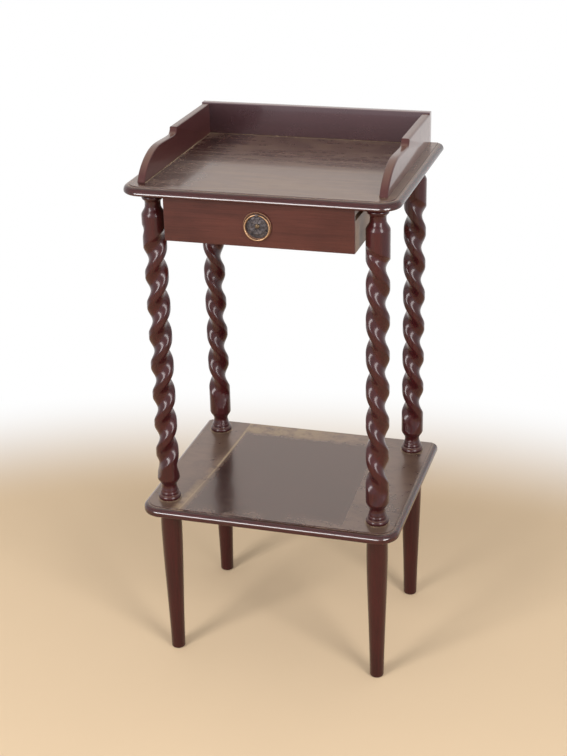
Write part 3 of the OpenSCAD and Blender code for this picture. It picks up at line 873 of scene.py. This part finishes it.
@dataclass
class Gallery:
    """The back panel and the two shaped side panels."""

    finishes: Finishes
    scoop_r: float = 9.5 * MM
    level_len: float = 147 * MM
    sweep_len: float = 72 * MM
    crown_h: float = 38.3 * MM
    sweep_fall: float = 0.71
    dip_run: float = 3 * MM
    outer_arris: float = 3.2 * MM
    inner_arris: float = 1.6 * MM
    back_arris: float = 0.6 * MM

    def contour(self, low: Vector, high: Vector) -> Array:
        """The upper edge of a side panel from its back end to its foot, as Y and height.

        Args:
            low, high: the panel's corners.

        Returns:
            (n, 2) points: a level line, a quarter circle scooped down, a smooth step up to the crown, and
            a sweep whose height is the crown's times one less u squared to the power sweep_fall.
        """
        level_h = high.z - low.z
        scoop_y = high.y - self.level_len - self.scoop_r
        crown_y = low.y + self.sweep_len
        level = np.column_stack([np.linspace(high.y, scoop_y + self.scoop_r, 40), np.full(40, level_h)])
        scoop = arc(scoop_y, level_h, self.scoop_r, 0.0, -90.0, 16)[1:]
        u = np.linspace(0.0, 1.0, 25)[1:]
        dip_y, dip_h = scoop[-1, 0] - self.dip_run, level_h - self.scoop_r
        rise = np.column_stack([dip_y + (crown_y - dip_y) * u, dip_h + (self.crown_h - dip_h) * smooth(u)])
        v = np.sin(np.radians(np.linspace(0.0, 90.0, 61)[1:]))
        fall = np.maximum(1.0 - v * v, 0.0) ** self.sweep_fall
        return np.vstack([level, scoop, rise, np.column_stack([crown_y - self.sweep_len * v,
                                                               self.crown_h * fall])])

    def side(self, name: str, node: str, outward: float) -> Piece:
        """One side panel.

        Args:
            name: the piece's name.
            node: the node that it stands for.
            outward: 1 for the right panel and -1 for the left.

        Returns:
            The piece: its contour is stacked across the thickness, and near either face it is drawn in
            along its own normal by what a round arris takes off, with a mitre at the level's front end.
        """
        low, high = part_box(node)
        line = self.contour(low, high)
        tangent = np.gradient(line, axis=0)
        tangent /= np.linalg.norm(tangent, axis=1, keepdims=True)
        normal = np.column_stack([tangent[:, 1], -tangent[:, 0]])
        normal[0], normal[-1] = (0.0, 1.0), (-1.0, 0.0)
        a = np.radians(np.linspace(0.0, 90.0, 7))
        bevel = np.column_stack([1.0 - np.cos(a), 1.0 - np.sin(a)])
        outer = bevel * self.outer_arris
        inner = bevel[::-1] * (-self.inner_arris, self.inner_arris) + (high.x - low.x, 0.0)
        across, inset = np.vstack([outer, inner]).T[:, :, None]
        level_h, level_end = high.z - low.z, high.y - self.level_len
        rings = np.zeros((len(across), len(line) + 1, 3))
        rings[:, :-1, 1:] = line - inset[:, :, None] * normal
        rings[:, :-1, 1] = np.where(line[:, 0] >= level_end, np.maximum(rings[:, :-1, 1], level_end + inset),
                                    rings[:, :-1, 1])
        rings[:, -1, 1:] = (high.y, 0.0)
        rings[:, :, 2] = np.maximum(np.minimum(rings[:, :, 2], level_h - inset), 0.0) + low.z
        rings[:, :, 0] = (high.x if outward > 0 else low.x) - outward * across
        return put(name, stack(rings, Ends.FLAT))

    def back(self) -> Piece:
        """The back panel.

        Returns:
            The piece: a section with rounded upper arrises, run along X.
        """
        low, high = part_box("gallery_back")
        r = self.inner_arris
        section = np.vstack([[[low.y, low.z]], arc(low.y + r, high.z - r, r, 180.0, 90.0, 6),
                             arc(high.y - r, high.z - r, r, 90.0, 0.0, 6), [[high.y, low.z]]])
        return soften(put("gallery_back_panel", extruded(section, low.x, high.x, 0, 24)), self.back_arris)

    def build(self) -> None:
        """Makes the three panels."""
        panels = self.finishes.panels.make()
        seat(self.back(), self.finishes.back_panel.make(), "root", "red_lacquer", "gallery_back")
        for name, node, outward in (("gallery_left_panel", "gallery_side_left", -1.0),
                                    ("gallery_right_panel", "gallery_side_right", 1.0)):
            seat(self.side(name, node, outward), panels, "root", "red_lacquer", node)


# ---------------------------------------------------------------- posts and legs


@dataclass(frozen=True)
class Twist:
    """The twist of one post: its hand, the height of a lobe, where one lobe stands, the heights at
    which the grooves leave the wood, and by how many degrees they swerve before the upper one."""

    node: str
    hand: int
    pitch: float
    lobe_z: float
    lobe_angle: float
    groove_low: float
    groove_high: float
    head_swerve: float = 0.0


@dataclass
class Posts:
    """The four posts: turned ends and two-lobed twisted lengths."""

    finishes: Finishes
    post_r: float = 17.3 * MM
    waist_r: float = 10.6 * MM
    neck_r: float = 11.6 * MM
    power: float = 2.8
    arris: float = 0.3 * MM
    foot_h: float = 36 * MM
    runout: float = 42 * MM
    runout_power: float = 1.5
    foot_swerve: float = 80.0
    swerve_len: float = 27 * MM
    row_h: float = 1 * MM
    sides: int = 96
    twists: tuple[Twist, ...] = (
        Twist(POSTS[0], 1, 47.39 * MM, 492.5 * MM, 21.4, 306 * MM, 714 * MM),
        Twist(POSTS[1], -1, 52.44 * MM, 485.5 * MM, 15.5, 303 * MM, 704 * MM, -45.0),
        Twist(POSTS[2], -1, 52.15 * MM, 501.0 * MM, 15.4, 317 * MM, 706 * MM),
        Twist(POSTS[3], -1, 52.2 * MM, 487.2 * MM, 10.2, 306 * MM, 704 * MM))

    def foot(self) -> Array:
        """The turned foot: bead, fillet, collar, neck and swell.

        Returns:
            (n, 2) radii and heights above the shelf.
        """
        bead = arc(13.1 * MM, 3.4 * MM, 4.2 * MM, -54.0, 75.0, 20)
        fillet = np.array([[14.0, 7.75], [14.0, 8.1]]) * MM
        collar = arc(11.7 * MM, 10.6 * MM, 2.6 * MM, -40.0, 55.0, 12)
        neck = swell((13.0 * MM, 13.3 * MM), (11.5 * MM, 21.5 * MM), 14)
        rise = swell((11.5 * MM, 22.3 * MM), (self.post_r, self.foot_h), 30)
        return np.vstack([bead, fillet, collar, neck, rise])

    def head(self) -> Array:
        """The turned head: disc, bead, neck and shoulder.

        Returns:
            (n, 2) radii and heights, from the top board's underside down.
        """
        disc = np.array([[15.6, 0.0], [15.6, -6.2], [15.2, -6.7], [14.7, -7.1]]) * MM
        bead = arc(self.neck_r, -11.2 * MM, 4.0 * MM, 66.0, -70.0, 18)
        neck = swell((12.4 * MM, -15.6 * MM), (self.neck_r, -18.0 * MM), 6)
        shoulder = swell((self.neck_r, -24.0 * MM), (self.post_r, -38.0 * MM), 30)
        return np.vstack([disc, bead, neck, shoulder])

    def turn(self, twist: Twist, height: Array) -> Array:
        """Angle in degrees of one lobe at each height: a helix that swerves upright at the foot.

        Args:
            twist: the post's twist.
            height: heights in the stand's frame.

        Returns:
            The helix's angle, plus smooth steps over the last swerve_len before the grooves' two ends.
        """
        helix = twist.lobe_angle + twist.hand * 180.0 * (height - twist.lobe_z) / twist.pitch
        foot = smooth((twist.groove_low + self.swerve_len - height) / self.swerve_len)
        head = smooth((height - twist.groove_high + self.swerve_len) / self.swerve_len)
        return helix + twist.hand * self.foot_swerve * foot + twist.head_swerve * head

    def leaving(self, way: Array) -> Array:
        """Share of the groove's depth that is missing at a distance from its end: one less the distance
        over runout, to a power; past the end it grows on in a straight line."""
        t = np.minimum(way / self.runout, 1.0)
        return np.where(t > 0.0, (1.0 - np.maximum(t, 0.0)) ** self.runout_power, 1.0 - self.runout_power * t)

    def radius(self, twist: Twist, angle: Array, height: Array) -> Array:
        """Radius of the twisted length.

        Args:
            twist: the post's twist.
            angle: the angle from the lobe, in radians.
            height: heights in the stand's frame.

        Returns:
            A superellipse post_r by waist_r, lifted towards both ends as the cutter leaves the wood, and
            cut off by the round post with a softened arris.
        """
        sum_of_powers = ((np.abs(np.cos(angle)) / self.post_r) ** self.power
                         + (np.abs(np.sin(angle)) / self.waist_r) ** self.power)
        lift = self.leaving(height - twist.groove_low) + self.leaving(twist.groove_high - height)
        groove = sum_of_powers ** (-1.0 / self.power) + (self.post_r - self.waist_r) * lift
        gap = self.post_r - groove
        return self.post_r - (gap + np.sqrt(gap * gap + self.arris ** 2)) / 2.0

    def build_one(self, twist: Twist) -> Piece:
        """One post.

        Args:
            twist: the post's twist.

        Returns:
            The piece: rings from foot to head, whose columns turn with the lobes along the twist.
        """
        low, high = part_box(twist.node)
        centre = (low + high) / 2.0
        foot, head = self.foot() + (0.0, low.z), (self.head() + (0.0, high.z))[::-1]
        middle = np.arange(low.z + self.foot_h + self.row_h, head[0, 1], self.row_h)
        z = np.concatenate([foot[:, 1], middle, head[:, 1]])[:, None]
        plain = np.concatenate([foot[:, 0], np.full(len(middle), np.inf), head[:, 0]])[:, None]
        columns = around(self.sides)[None, :]
        radius = np.minimum(plain, self.radius(twist, columns, z))
        a = np.radians(self.turn(twist, z)) + columns
        rings = np.stack([centre.x + radius * np.cos(a), centre.y + radius * np.sin(a),
                          np.broadcast_to(z, a.shape)], axis=-1)
        return put(f"{twist.node}_turned", stack(rings), sharp=50.0)

    def build(self) -> None:
        """Makes the four posts."""
        finish = self.finishes.turnings.make()
        for twist in self.twists:
            seat(self.build_one(twist), finish, "root", "red_lacquer", twist.node)


@dataclass
class Legs:
    """The four tapered legs under the shelf."""

    finishes: Finishes
    foot_r: float = 10.9 * MM
    swell_r: float = 16.3 * MM
    top_r: float = 15.7 * MM
    swell_share: float = 0.84
    straight: float = 0.45
    crown_h: float = 4 * MM
    foot_round: float = 3 * MM

    def profile(self, height: float) -> Array:
        """A leg's radius and height: a rounded foot, a taper that blends a straight line with a smooth
        step, and a slight draw-in under the shelf.

        Args:
            height: the leg's height.

        Returns:
            (n, 2) points from the floor up.
        """
        foot = arc(self.foot_r - self.foot_round, self.foot_round, self.foot_round, -90.0, 0.0, 10)
        u = np.linspace(0.0, 1.0, 90)[1:]
        top = self.swell_share * height
        grow = self.straight * u + (1.0 - self.straight) * smooth(u)
        taper = np.column_stack([self.foot_r + (self.swell_r - self.foot_r) * grow,
                                 self.foot_round + (top - self.foot_round) * u])
        draw = swell((self.swell_r, top + self.crown_h), (self.top_r, height), 14)
        return np.vstack([foot, taper, draw])

    def build(self) -> None:
        """Makes the four legs."""
        finish = self.finishes.turnings.make()
        for node in LEGS:
            low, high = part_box(node)
            centre = (low + high) / 2.0
            rings = spun(self.profile(high.z - low.z)) + (centre.x, centre.y, low.z)
            seat(put(f"{node}_turned", stack(rings)), finish, "root", "red_lacquer", node)


# ---------------------------------------------------------------- drawer and runners


@dataclass
class Drawer:
    """The drawer's five boards, the runners that carry it and the block that stops it."""

    finishes: Finishes
    lap: float = 4 * MM
    bottom_lift: float = 8 * MM
    bottom_t: float = 4 * MM
    bottom_bite: float = 5 * MM
    groove_drop: float = 11 * MM
    groove_h: float = 8 * MM
    groove_d: float = 6 * MM
    web_t: float = 8 * MM
    tongue_h: float = 7 * MM
    front_arris: float = 0.7 * MM
    side_arris: float = 0.4 * MM
    runner_arris: float = 0.5 * MM

    def front(self) -> Piece:
        """The front.

        Returns:
            The piece: its plan, rebated at both ends for the sides, run upwards.
        """
        low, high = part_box("drawer_front")
        inner, outer = (corner.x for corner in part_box("drawer_side_right"))
        lap_y, tongue_x = low.y + self.lap, high.x - (outer - inner)
        plan = np.array([[low.x, low.y], [high.x, low.y], [high.x, lap_y], [tongue_x, lap_y],
                         [tongue_x, high.y], [-tongue_x, high.y], [-tongue_x, lap_y], [low.x, lap_y]])
        return soften(put("drawer_front_board", extruded(plan, low.z, high.z, 2, 8)), self.front_arris, 3)

    def side(self, node: str) -> Piece:
        """A side.

        Args:
            node: the node that it stands for.

        Returns:
            The piece: its section, with the runner's groove outside and the bottom's inside, run along Y.
        """
        low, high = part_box(node)
        outward, outer, inner = (1.0, high.x, low.x) if high.x > 0 else (-1.0, low.x, high.x)
        groove_top = high.z - self.groove_drop
        groove_low, groove_x = groove_top - self.groove_h, outer - outward * self.groove_d
        floor_low, floor_top = low.z + self.bottom_lift, low.z + self.bottom_lift + self.bottom_t
        floor_x = inner + outward * self.bottom_bite
        section = np.array([[outer, low.z], [outer, groove_low], [groove_x, groove_low],
                            [groove_x, groove_top], [outer, groove_top], [outer, high.z],
                            [inner, high.z], [inner, floor_top], [floor_x, floor_top],
                            [floor_x, floor_low], [inner, floor_low], [inner, low.z]])
        return soften(put(f"{node}_board", extruded(section, low.y, high.y, 1, 10)), self.side_arris)

    def runner(self, node: str) -> Piece:
        """A runner.

        Args:
            node: the node that it stands for.

        Returns:
            The piece: its L-shaped section run along Y.
        """
        low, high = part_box(node)
        outward, outer, tip = (1.0, high.x, low.x) if high.x > 0 else (-1.0, low.x, high.x)
        web_x, tongue_top = outer - outward * self.web_t, low.z + self.tongue_h
        section = np.array([[outer, low.z], [outer, high.z], [web_x, high.z], [web_x, tongue_top],
                            [tip, tongue_top], [tip, low.z]])
        return soften(put(f"{node}_strip", extruded(section, low.y, high.y, 1, 8)), self.runner_arris)

    def plank(self, name: str, node: str, arris: float) -> Piece:
        """A planed board in a node's place: its rounded section run along its longest way.

        Args:
            name: the piece's name.
            node: the node that it stands for.
            arris: the radius of its long arrises.

        Returns:
            The piece.
        """
        low, high = (np.array(corner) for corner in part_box(node))
        axis = int(np.argmax(high - low))
        u, v = (k for k in range(3) if k != axis)
        corners = ((high[u], high[v], 0.0, -1, -1), (low[u], high[v], 90.0, 1, -1),
                   (low[u], low[v], 180.0, 1, 1), (high[u], low[v], 270.0, -1, 1))
        section = np.vstack([arc(cu + du * arris, cv + dv * arris, arris, a, a + 90.0, 4)
                             for cu, cv, a, du, dv in corners])
        return put(name, extruded(section, low[axis], high[axis], axis, 8))

    def build(self) -> None:
        """Makes the drawer's boards, the runners and the stop."""
        kit = self.finishes
        along, across = kit.inside.make(), kit.inside_across.make()
        case = kit.drawer_case.make()
        seat(self.front(), kit.drawer_face.make(), "drawer", "drawer_lacquer", "drawer_front")
        for node in ("drawer_side_left", "drawer_side_right"):
            seat(self.side(node), case, "drawer", "side_lacquer", node)
        back = self.plank("drawer_back_board", "drawer_back", 0.8 * MM)
        seat(back, across, "drawer", "bare_wood", "drawer_back")
        bottom = self.plank("drawer_bottom_panel", "drawer_bottom", 0.5 * MM)
        seat(bottom, along, "drawer", "bare_wood", "drawer_bottom")
        for node in ("runner_left", "runner_right"):
            seat(self.runner(node), along, "root", "bare_wood", node)
        stop = self.plank("drawer_stop_block", "drawer_stop", 1.0 * MM)
        seat(stop, across, "root", "bare_wood", "drawer_stop")


# ---------------------------------------------------------------- ring pull


@dataclass
class RingPull:
    """The ring pull: a pressed backplate with a rim and a rosette, a knuckle, a domed bolt and a ring."""

    finishes: Finishes
    wire_r: float = 1.2 * MM
    plate_r: float = 20.5 * MM
    rim_h: float = 3.0 * MM
    rim_w: float = 1.9 * MM
    floor_h: float = 1.0 * MM
    disc_r: float = 12.4 * MM
    disc_h: float = 1.8 * MM
    petal_h: float = 0.45 * MM
    dish_h: float = 0.35 * MM
    petals: int = 8
    knuckle_r: float = 2.6 * MM
    knuckle_w: float = 4.6 * MM
    knuckle_round: float = 0.35 * MM
    hole_gap: float = 0.3 * MM
    stem_power: float = 0.5
    stem_flare: float = 0.35
    shank_r: float = 2.0 * MM
    ring_worn: float = 0.015
    boss_r: float = 3.4 * MM
    dome_h: float = 1.7 * MM

    def __post_init__(self) -> None:
        """Finds the plate's middle on the drawer's face, and the pivot, from the frame."""
        low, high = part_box("pull_bolt")
        self.middle = Vector((0.0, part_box("drawer_front")[0].y, (low.z + high.z) / 2.0))
        swing = next(joint for joint in frame["joints"] if joint["name"] == "ring_swing")
        self.pivot = Vector(swing["pos_m"])

    def on_face(self, rings: Array) -> Shell:
        """Skins rings once they are laid on the drawer's face: X stays, Y goes up, Z comes forward."""
        x, y, z = np.moveaxis(rings, -1, 0)
        return stack(np.stack([self.middle.x + x, self.middle.y - z, self.middle.z + y], axis=-1))

    def dish(self) -> Shell:
        """The backplate.

        Returns:
            The skin: a rim, a floor, and a disc that eight petals lift by the cosine of the angle.
        """
        rim = arc(self.plate_r - self.rim_w / 2, self.rim_h - self.rim_w / 2, self.rim_w / 2, 0.0, 180.0, 14)
        disc = np.column_stack([np.linspace(self.disc_r - 0.6 * MM, self.boss_r - 0.4 * MM, 26),
                                np.full(26, self.disc_h)])
        lip = [[self.disc_r + 0.9 * MM, self.floor_h], [self.disc_r, self.floor_h + 0.5 * MM]]
        inner_r = self.plate_r - self.rim_w
        profile = np.vstack([[[self.plate_r - 0.4 * MM, 0.0], [self.plate_r, 0.3 * MM]], rim,
                             [[inner_r, self.floor_h + 0.4 * MM], [inner_r - 0.5 * MM, self.floor_h]],
                             lip, disc])
        rings, r = spun(profile, 160), profile[:, :1]
        bulge = np.sin(np.pi * np.clip((r - self.boss_r) / (self.disc_r - self.boss_r), 0.0, 1.0))
        petal = np.abs(np.cos(self.petals / 2 * around(160)))
        rings[..., 2] += (r < self.disc_r - 0.3 * MM) * bulge * (self.petal_h * petal - self.dish_h)
        return self.on_face(rings)

    def knuckle(self) -> Shell:
        """The knuckle.

        Returns:
            The skin: a rectangle with round corners, turned about the pivot's axis.
        """
        hole, out, half = self.wire_r + self.hole_gap, self.knuckle_r, self.knuckle_w / 2
        c = self.knuckle_round
        corners = ((out - c, half - c, 0.0), (hole + c, half - c, 90.0), (hole + c, c - half, 180.0),
                   (out - c, c - half, 270.0))
        section = np.vstack([arc(r, x, c, a, a + 90.0, 4) for r, x, a in corners])
        r, x = section.T
        a = around(48)[:, None]
        rings = np.stack([self.pivot.x + x + 0.0 * a, self.pivot.y + r * np.cos(a),
                          self.pivot.z + r * np.sin(a)], axis=-1)
        return stack(rings, Ends.JOINED)

    def stem(self) -> Shell:
        """The stem that joins the knuckle to the plate.

        Returns:
            The skin: a superellipse run forward off the face, flared by a smooth step towards it.
        """
        a = around(40)
        x, z = (np.sign(wave) * np.abs(wave) ** self.stem_power for wave in (np.cos(a), np.sin(a)))
        share = np.linspace(0.0, 1.0, 8)[:, None]
        flare = 1.0 + self.stem_flare * (1.0 - smooth(share))
        end_y = self.pivot.y + self.wire_r + self.hole_gap + 0.05 * MM
        rings = np.stack([self.pivot.x + flare * x * self.knuckle_w * 0.49,
                          self.middle.y + (end_y - self.middle.y) * share + 0.0 * a,
                          self.pivot.z + flare * z * self.knuckle_r * 0.9], axis=-1)
        return stack(rings)

    def bolt(self) -> tuple[Shell, Shell]:
        """The bolt.

        Returns:
            Its domed head, a quarter ellipse turned with a lip, and its shank through the front.
        """
        a = np.radians(np.linspace(0.0, 88.0, 16))
        dome = np.column_stack([self.boss_r * np.cos(a), self.disc_h + 0.3 * MM + self.dome_h * np.sin(a)])
        lip = [[self.boss_r - 0.3 * MM, self.disc_h - 0.4 * MM], [self.boss_r, self.disc_h]]
        back = self.middle.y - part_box("pull_bolt")[1].y
        shank = np.array([[0.8 * self.shank_r, back], [self.shank_r, back + 0.5 * MM],
                          [self.shank_r, self.disc_h]])
        return self.on_face(spun(np.vstack([lip, dome]), 64)), self.on_face(spun(shank, 64))

    def ring(self) -> Shell:
        """The ring.

        Returns:
            The skin: a wire turned round the ring's middle, leaning as it hangs from the pivot. It thins
            by a few hundredths where the knuckle wears it, with the cosine of the angle from there.
        """
        low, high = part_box("pull_ring")
        middle = (low + high) / 2.0
        down = middle - self.pivot
        lean = math.atan2(-down.y, -down.z)
        turn, tube = around(144)[:, None], around(28)[None, :]
        wire = self.wire_r * (1.0 - self.ring_worn * (1.0 + np.cos(turn)))
        reach, out = down.length + wire * np.cos(tube), wire * np.sin(tube)
        up = reach * np.cos(turn)
        rings = np.stack([middle.x + reach * np.sin(turn),
                          middle.y + up * math.sin(lean) - out * math.cos(lean),
                          middle.z + up * math.cos(lean) + out * math.sin(lean)], axis=-1)
        return stack(rings, Ends.JOINED)

    def build(self) -> None:
        """Makes the plate, the bolt and the ring, and dresses the washer and nut."""
        brass = self.finishes.brass.make()
        patina = self.finishes.plate.make(self.middle, self.plate_r - self.rim_w - 1.0 * MM)
        plate = put("pull_plate_pressed", self.dish(), self.knuckle(), self.stem())
        seat(plate, patina, "drawer", "bronze", "pull_backplate")
        seat(put("pull_bolt_domed", *self.bolt()), self.finishes.bolt.make(), "drawer", "brass", "pull_bolt")
        seat(put("pull_ring_wire", self.ring()), brass, "ring", "brass", "pull_ring")
        for node in ("pull_washer", "pull_nut"):
            dress(node, brass)


# ---------------------------------------------------------------- fixings


@dataclass
class Fixings:
    """The screws, whose slotted heads show from beneath, and the hidden dowels and bolts."""

    finishes: Finishes
    head_r: float = 4 * MM
    slot_w: float = 1.2 * MM
    slot_h: float = 0.9 * MM
    head_h: float = 2.2 * MM
    proud: float = 0.12 * MM
    arris: float = 0.15 * MM
    back_inset: float = 60 * MM
    side_inset: float = 90 * MM

    def head(self, x: float, y: float, z: float) -> list[Shell]:
        """A slotted head whose face stands a hair below z.

        Args:
            x, y: the screw's axis.
            z: the height of the face that it is sunk into.

        Returns:
            Two halves beside the slot, each an arc closed by a chord and run up, and the slot's floor.
        """
        reach = math.degrees(math.asin(self.slot_w / 2 / self.head_r))
        halves = [extruded(arc(x, y, self.head_r, side + reach, side + 180.0 - reach, 20),
                           z - self.proud, z + self.slot_h, 2) for side in (0.0, 180.0)]
        floor = arc(x, y, self.head_r * 0.99, 0.0, 351.0, 39)
        return halves + [extruded(floor, z + self.slot_h - self.proud, z + self.head_h, 2)]

    def build(self) -> None:
        """Makes the screw heads and dresses the rest."""
        steel, r = self.finishes.steel.make(), self.head_r
        low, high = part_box("gallery_screws")
        panel_x, panel_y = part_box("gallery_back")[1].x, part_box("gallery_side_right")[1].y
        gallery = [(x * (panel_x - self.back_inset), high.y - r) for x in (-1.0, 0.0, 1.0)]
        rows = (low.y + r, panel_y - self.side_inset)
        gallery += [(x * (high.x - r), y) for x in (-1.0, 1.0) for y in rows]
        low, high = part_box("runner_screws")
        runner = [(x * (high.x - r), y) for x in (-1.0, 1.0) for y in (low.y + r, high.y - r)]
        for name, spots, z in (("gallery_screw", gallery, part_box("top_board")[0].z),
                               ("runner_screw", runner, low.z)):
            heads = put(f"{name}_heads", *(shell for x, y in spots for shell in self.head(x, y, z)))
            seat(soften(heads, self.arris), steel, "root", "steel", f"{name}s")
        dress("leg_bolts", steel)
        dress("post_dowels", self.finishes.inside.make())


# ---------------------------------------------------------------- studio


class Role(Enum):
    """What a lamp does: it lights every piece, or it only glints, on the boards or on the upright work."""

    LIGHT = "light"
    BOARD_GLINT = "INCLUDE"
    OTHER_GLINT = "EXCLUDE"

    def pieces(self) -> tuple[str, ...]:
        """The pieces that a glint is linked to.

        Returns:
            The names of those that it falls on alone, or that it spares.
        """
        boards = ("top_board_moulded", "shelf_board_moulded")
        gallery = ("gallery_back_panel", "gallery_left_panel", "gallery_right_panel")
        return boards if self is Role.BOARD_GLINT else boards + gallery


@dataclass(frozen=True)
class Lamp:
    """A soft rectangular lamp aimed at the stand."""

    name: str
    place: tuple[float, float, float]
    size: tuple[float, float]
    power: float
    role: Role

    def light(self, target: Vector) -> None:
        """Hangs the lamp and turns it.

        Args:
            target: the point that it shines at.
        """
        data = bpy.data.lights.new(self.name, "AREA")
        data.shape, data.energy = "RECTANGLE", self.power
        data.size, data.size_y = self.size
        lamp = bpy.data.objects.new(self.name, data)
        lamp.visible_glossy = self.role is not Role.LIGHT
        lamp.visible_diffuse = self.role is Role.LIGHT
        lamp.visible_camera = False
        if self.role is not Role.LIGHT:
            linked = bpy.data.collections.new(f"pieces for {self.name}")
            for name in self.role.pieces():
                linked.objects.link(bpy.data.objects[name])
            lamp.light_linking.receiver_collection = linked
            for entry in linked.collection_objects:
                entry.light_linking.link_state = self.role.value
        lamp.location = self.place
        lamp.rotation_euler = (target - Vector(self.place)).to_track_quat("-Z", "Y").to_euler()
        bpy.context.scene.collection.objects.link(lamp)


@dataclass(frozen=True)
class Studio:
    """The camera at the photograph's viewing angle, the pale floor, the lamps and the white surround."""

    place: tuple[float, float, float] = (606.69 * MM, -2040.62 * MM, 1366.93 * MM)
    yaw: float = 16.882
    pitch: float = 23.593
    roll: float = -1.395
    focal_px: float = 1506.493
    image_h: float = 756.0
    sensor: float = 36.0
    sight: tuple[float, float] = (0.05, 50.0)
    ambient: float = 0.55
    floor_half: float = 8.0
    floor_colour: Rgb = srgb(222, 196, 163)
    far_colour: Rgb = (0.85, 0.85, 0.85)
    floor_middle: Spot = (0.1, -1.0)
    floor_reach: Spot = (1.45, 1.95)
    target: tuple[float, float, float] = (0.0, 0.0, 0.45)
    lamps: tuple[Lamp, ...] = (
        Lamp("window left", (-1.4, -2.6, 1.9), (1.0, 1.7), 66.0, Role.LIGHT),
        Lamp("window right", (2.1, -1.8, 1.8), (1.0, 1.7), 56.0, Role.LIGHT),
        Lamp("low wide window", (0.1, -3.4, 1.2), (3.4, 0.4), 14.0, Role.LIGHT),
        Lamp("glint left", (-1.4, -2.6, 1.8), (0.9, 2.2), 78.0, Role.OTHER_GLINT),
        Lamp("glint right", (2.1, -1.8, 1.7), (0.9, 2.2), 66.0, Role.OTHER_GLINT),
        Lamp("glint on the boards", (-0.8, -3.2, 0.42), (3.4, 0.7), 230.0, Role.BOARD_GLINT),
        Lamp("glint on the corners", (2.1, -1.8, 0.42), (1.2, 0.7), 80.0, Role.BOARD_GLINT))

    def camera(self) -> None:
        """Makes the camera: yaw about Z, then pitch down, then roll about the line of sight."""
        yaw, pitch, roll = (math.radians(a) for a in (self.yaw, self.pitch, self.roll))
        ahead = Vector((-math.sin(yaw) * math.cos(pitch), math.cos(yaw) * math.cos(pitch), -math.sin(pitch)))
        level = Vector((math.cos(yaw), math.sin(yaw), 0.0))
        up = level.cross(ahead)
        right = math.cos(roll) * level + math.sin(roll) * up
        top = -math.sin(roll) * level + math.cos(roll) * up
        data = bpy.data.cameras.new("viewpoint")
        data.sensor_width = self.sensor
        data.lens = self.focal_px * self.sensor / self.image_h
        data.clip_start, data.clip_end = self.sight
        camera = bpy.data.objects.new("viewpoint", data)
        turn = Matrix((right, top, -ahead)).transposed().to_4x4()
        camera.matrix_world = Matrix.Translation(self.place) @ turn
        bpy.context.scene.collection.objects.link(camera)
        bpy.context.scene.camera = camera

    def floor(self) -> None:
        """Makes the floor: a square sheet that fades to white with the distance from the stand."""
        half = self.floor_half
        mesh = bpy.data.meshes.new("floor")
        mesh.from_pydata([(-half, -half, 0.0), (half, -half, 0.0), (half, half, 0.0), (-half, half, 0.0)], [],
                         [(0, 1, 2, 3)])
        sheet = Sheet("pale floor")
        x, y, _ = sheet.axes()
        aside, away = (x * MM - self.floor_middle[0], y * MM - self.floor_middle[1])
        far = (aside * aside + away * away).root().ease(*self.floor_reach)
        colour = sheet.blend(sheet.noise(3.0, 3.0, 0.5), self.floor_colour, shaded(self.floor_colour, 0.94))
        near, pale = (sheet.node("ShaderNodeBsdfDiffuse", Color=tint) for tint in (colour, self.far_colour))
        white = sheet.node("ShaderNodeEmission", WHITE, 1.0)
        mesh.materials.append(sheet.close(sheet.cross(far, near, sheet.cross(sheet.seen(), pale, white))))
        floor = bpy.data.objects.new("floor", mesh)
        bpy.context.scene.collection.objects.link(floor)

    def surround(self) -> None:
        """Makes the world: white to the camera and in reflections, and a softer white as light."""
        sky = Sheet("surround", world=True)
        soft, plain = (sky.node("ShaderNodeBackground", WHITE, strength) for strength in (self.ambient, 1.0))
        bpy.context.scene.world = sky.close(sky.cross(sky.seen(), soft, plain))

    def build(self) -> None:
        """Sets up the camera, floor and surround."""
        self.camera()
        self.floor()
        self.surround()
        bpy.context.scene.view_settings.view_transform = "Standard"

    def hang_lamps(self) -> None:
        """Hangs the lamps, once the pieces that they spare are there."""
        for lamp in self.lamps:
            lamp.light(Vector(self.target))


# ---------------------------------------------------------------- the whole


def corners(box: tuple[Vector, Vector]) -> list[list[float]]:
    """A box's two corners as plain lists."""
    return [list(corner) for corner in box]


def main() -> None:
    """Builds the studio and every sub-assembly."""
    logging.basicConfig(level=logging.INFO, format="%(name)s %(message)s")
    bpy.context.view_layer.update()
    finishes = Finishes()
    studio = Studio()
    studio.build()
    posts = Posts(finishes)
    for assembly in (Boards(finishes, posts.post_r), Gallery(finishes), posts, Legs(finishes),
                     Drawer(finishes), RingPull(finishes), Fixings(finishes)):
        log.info("building %s", type(assembly).__name__)
        assembly.build()
    studio.hang_lamps()


if __name__ == "__main__":
    main()
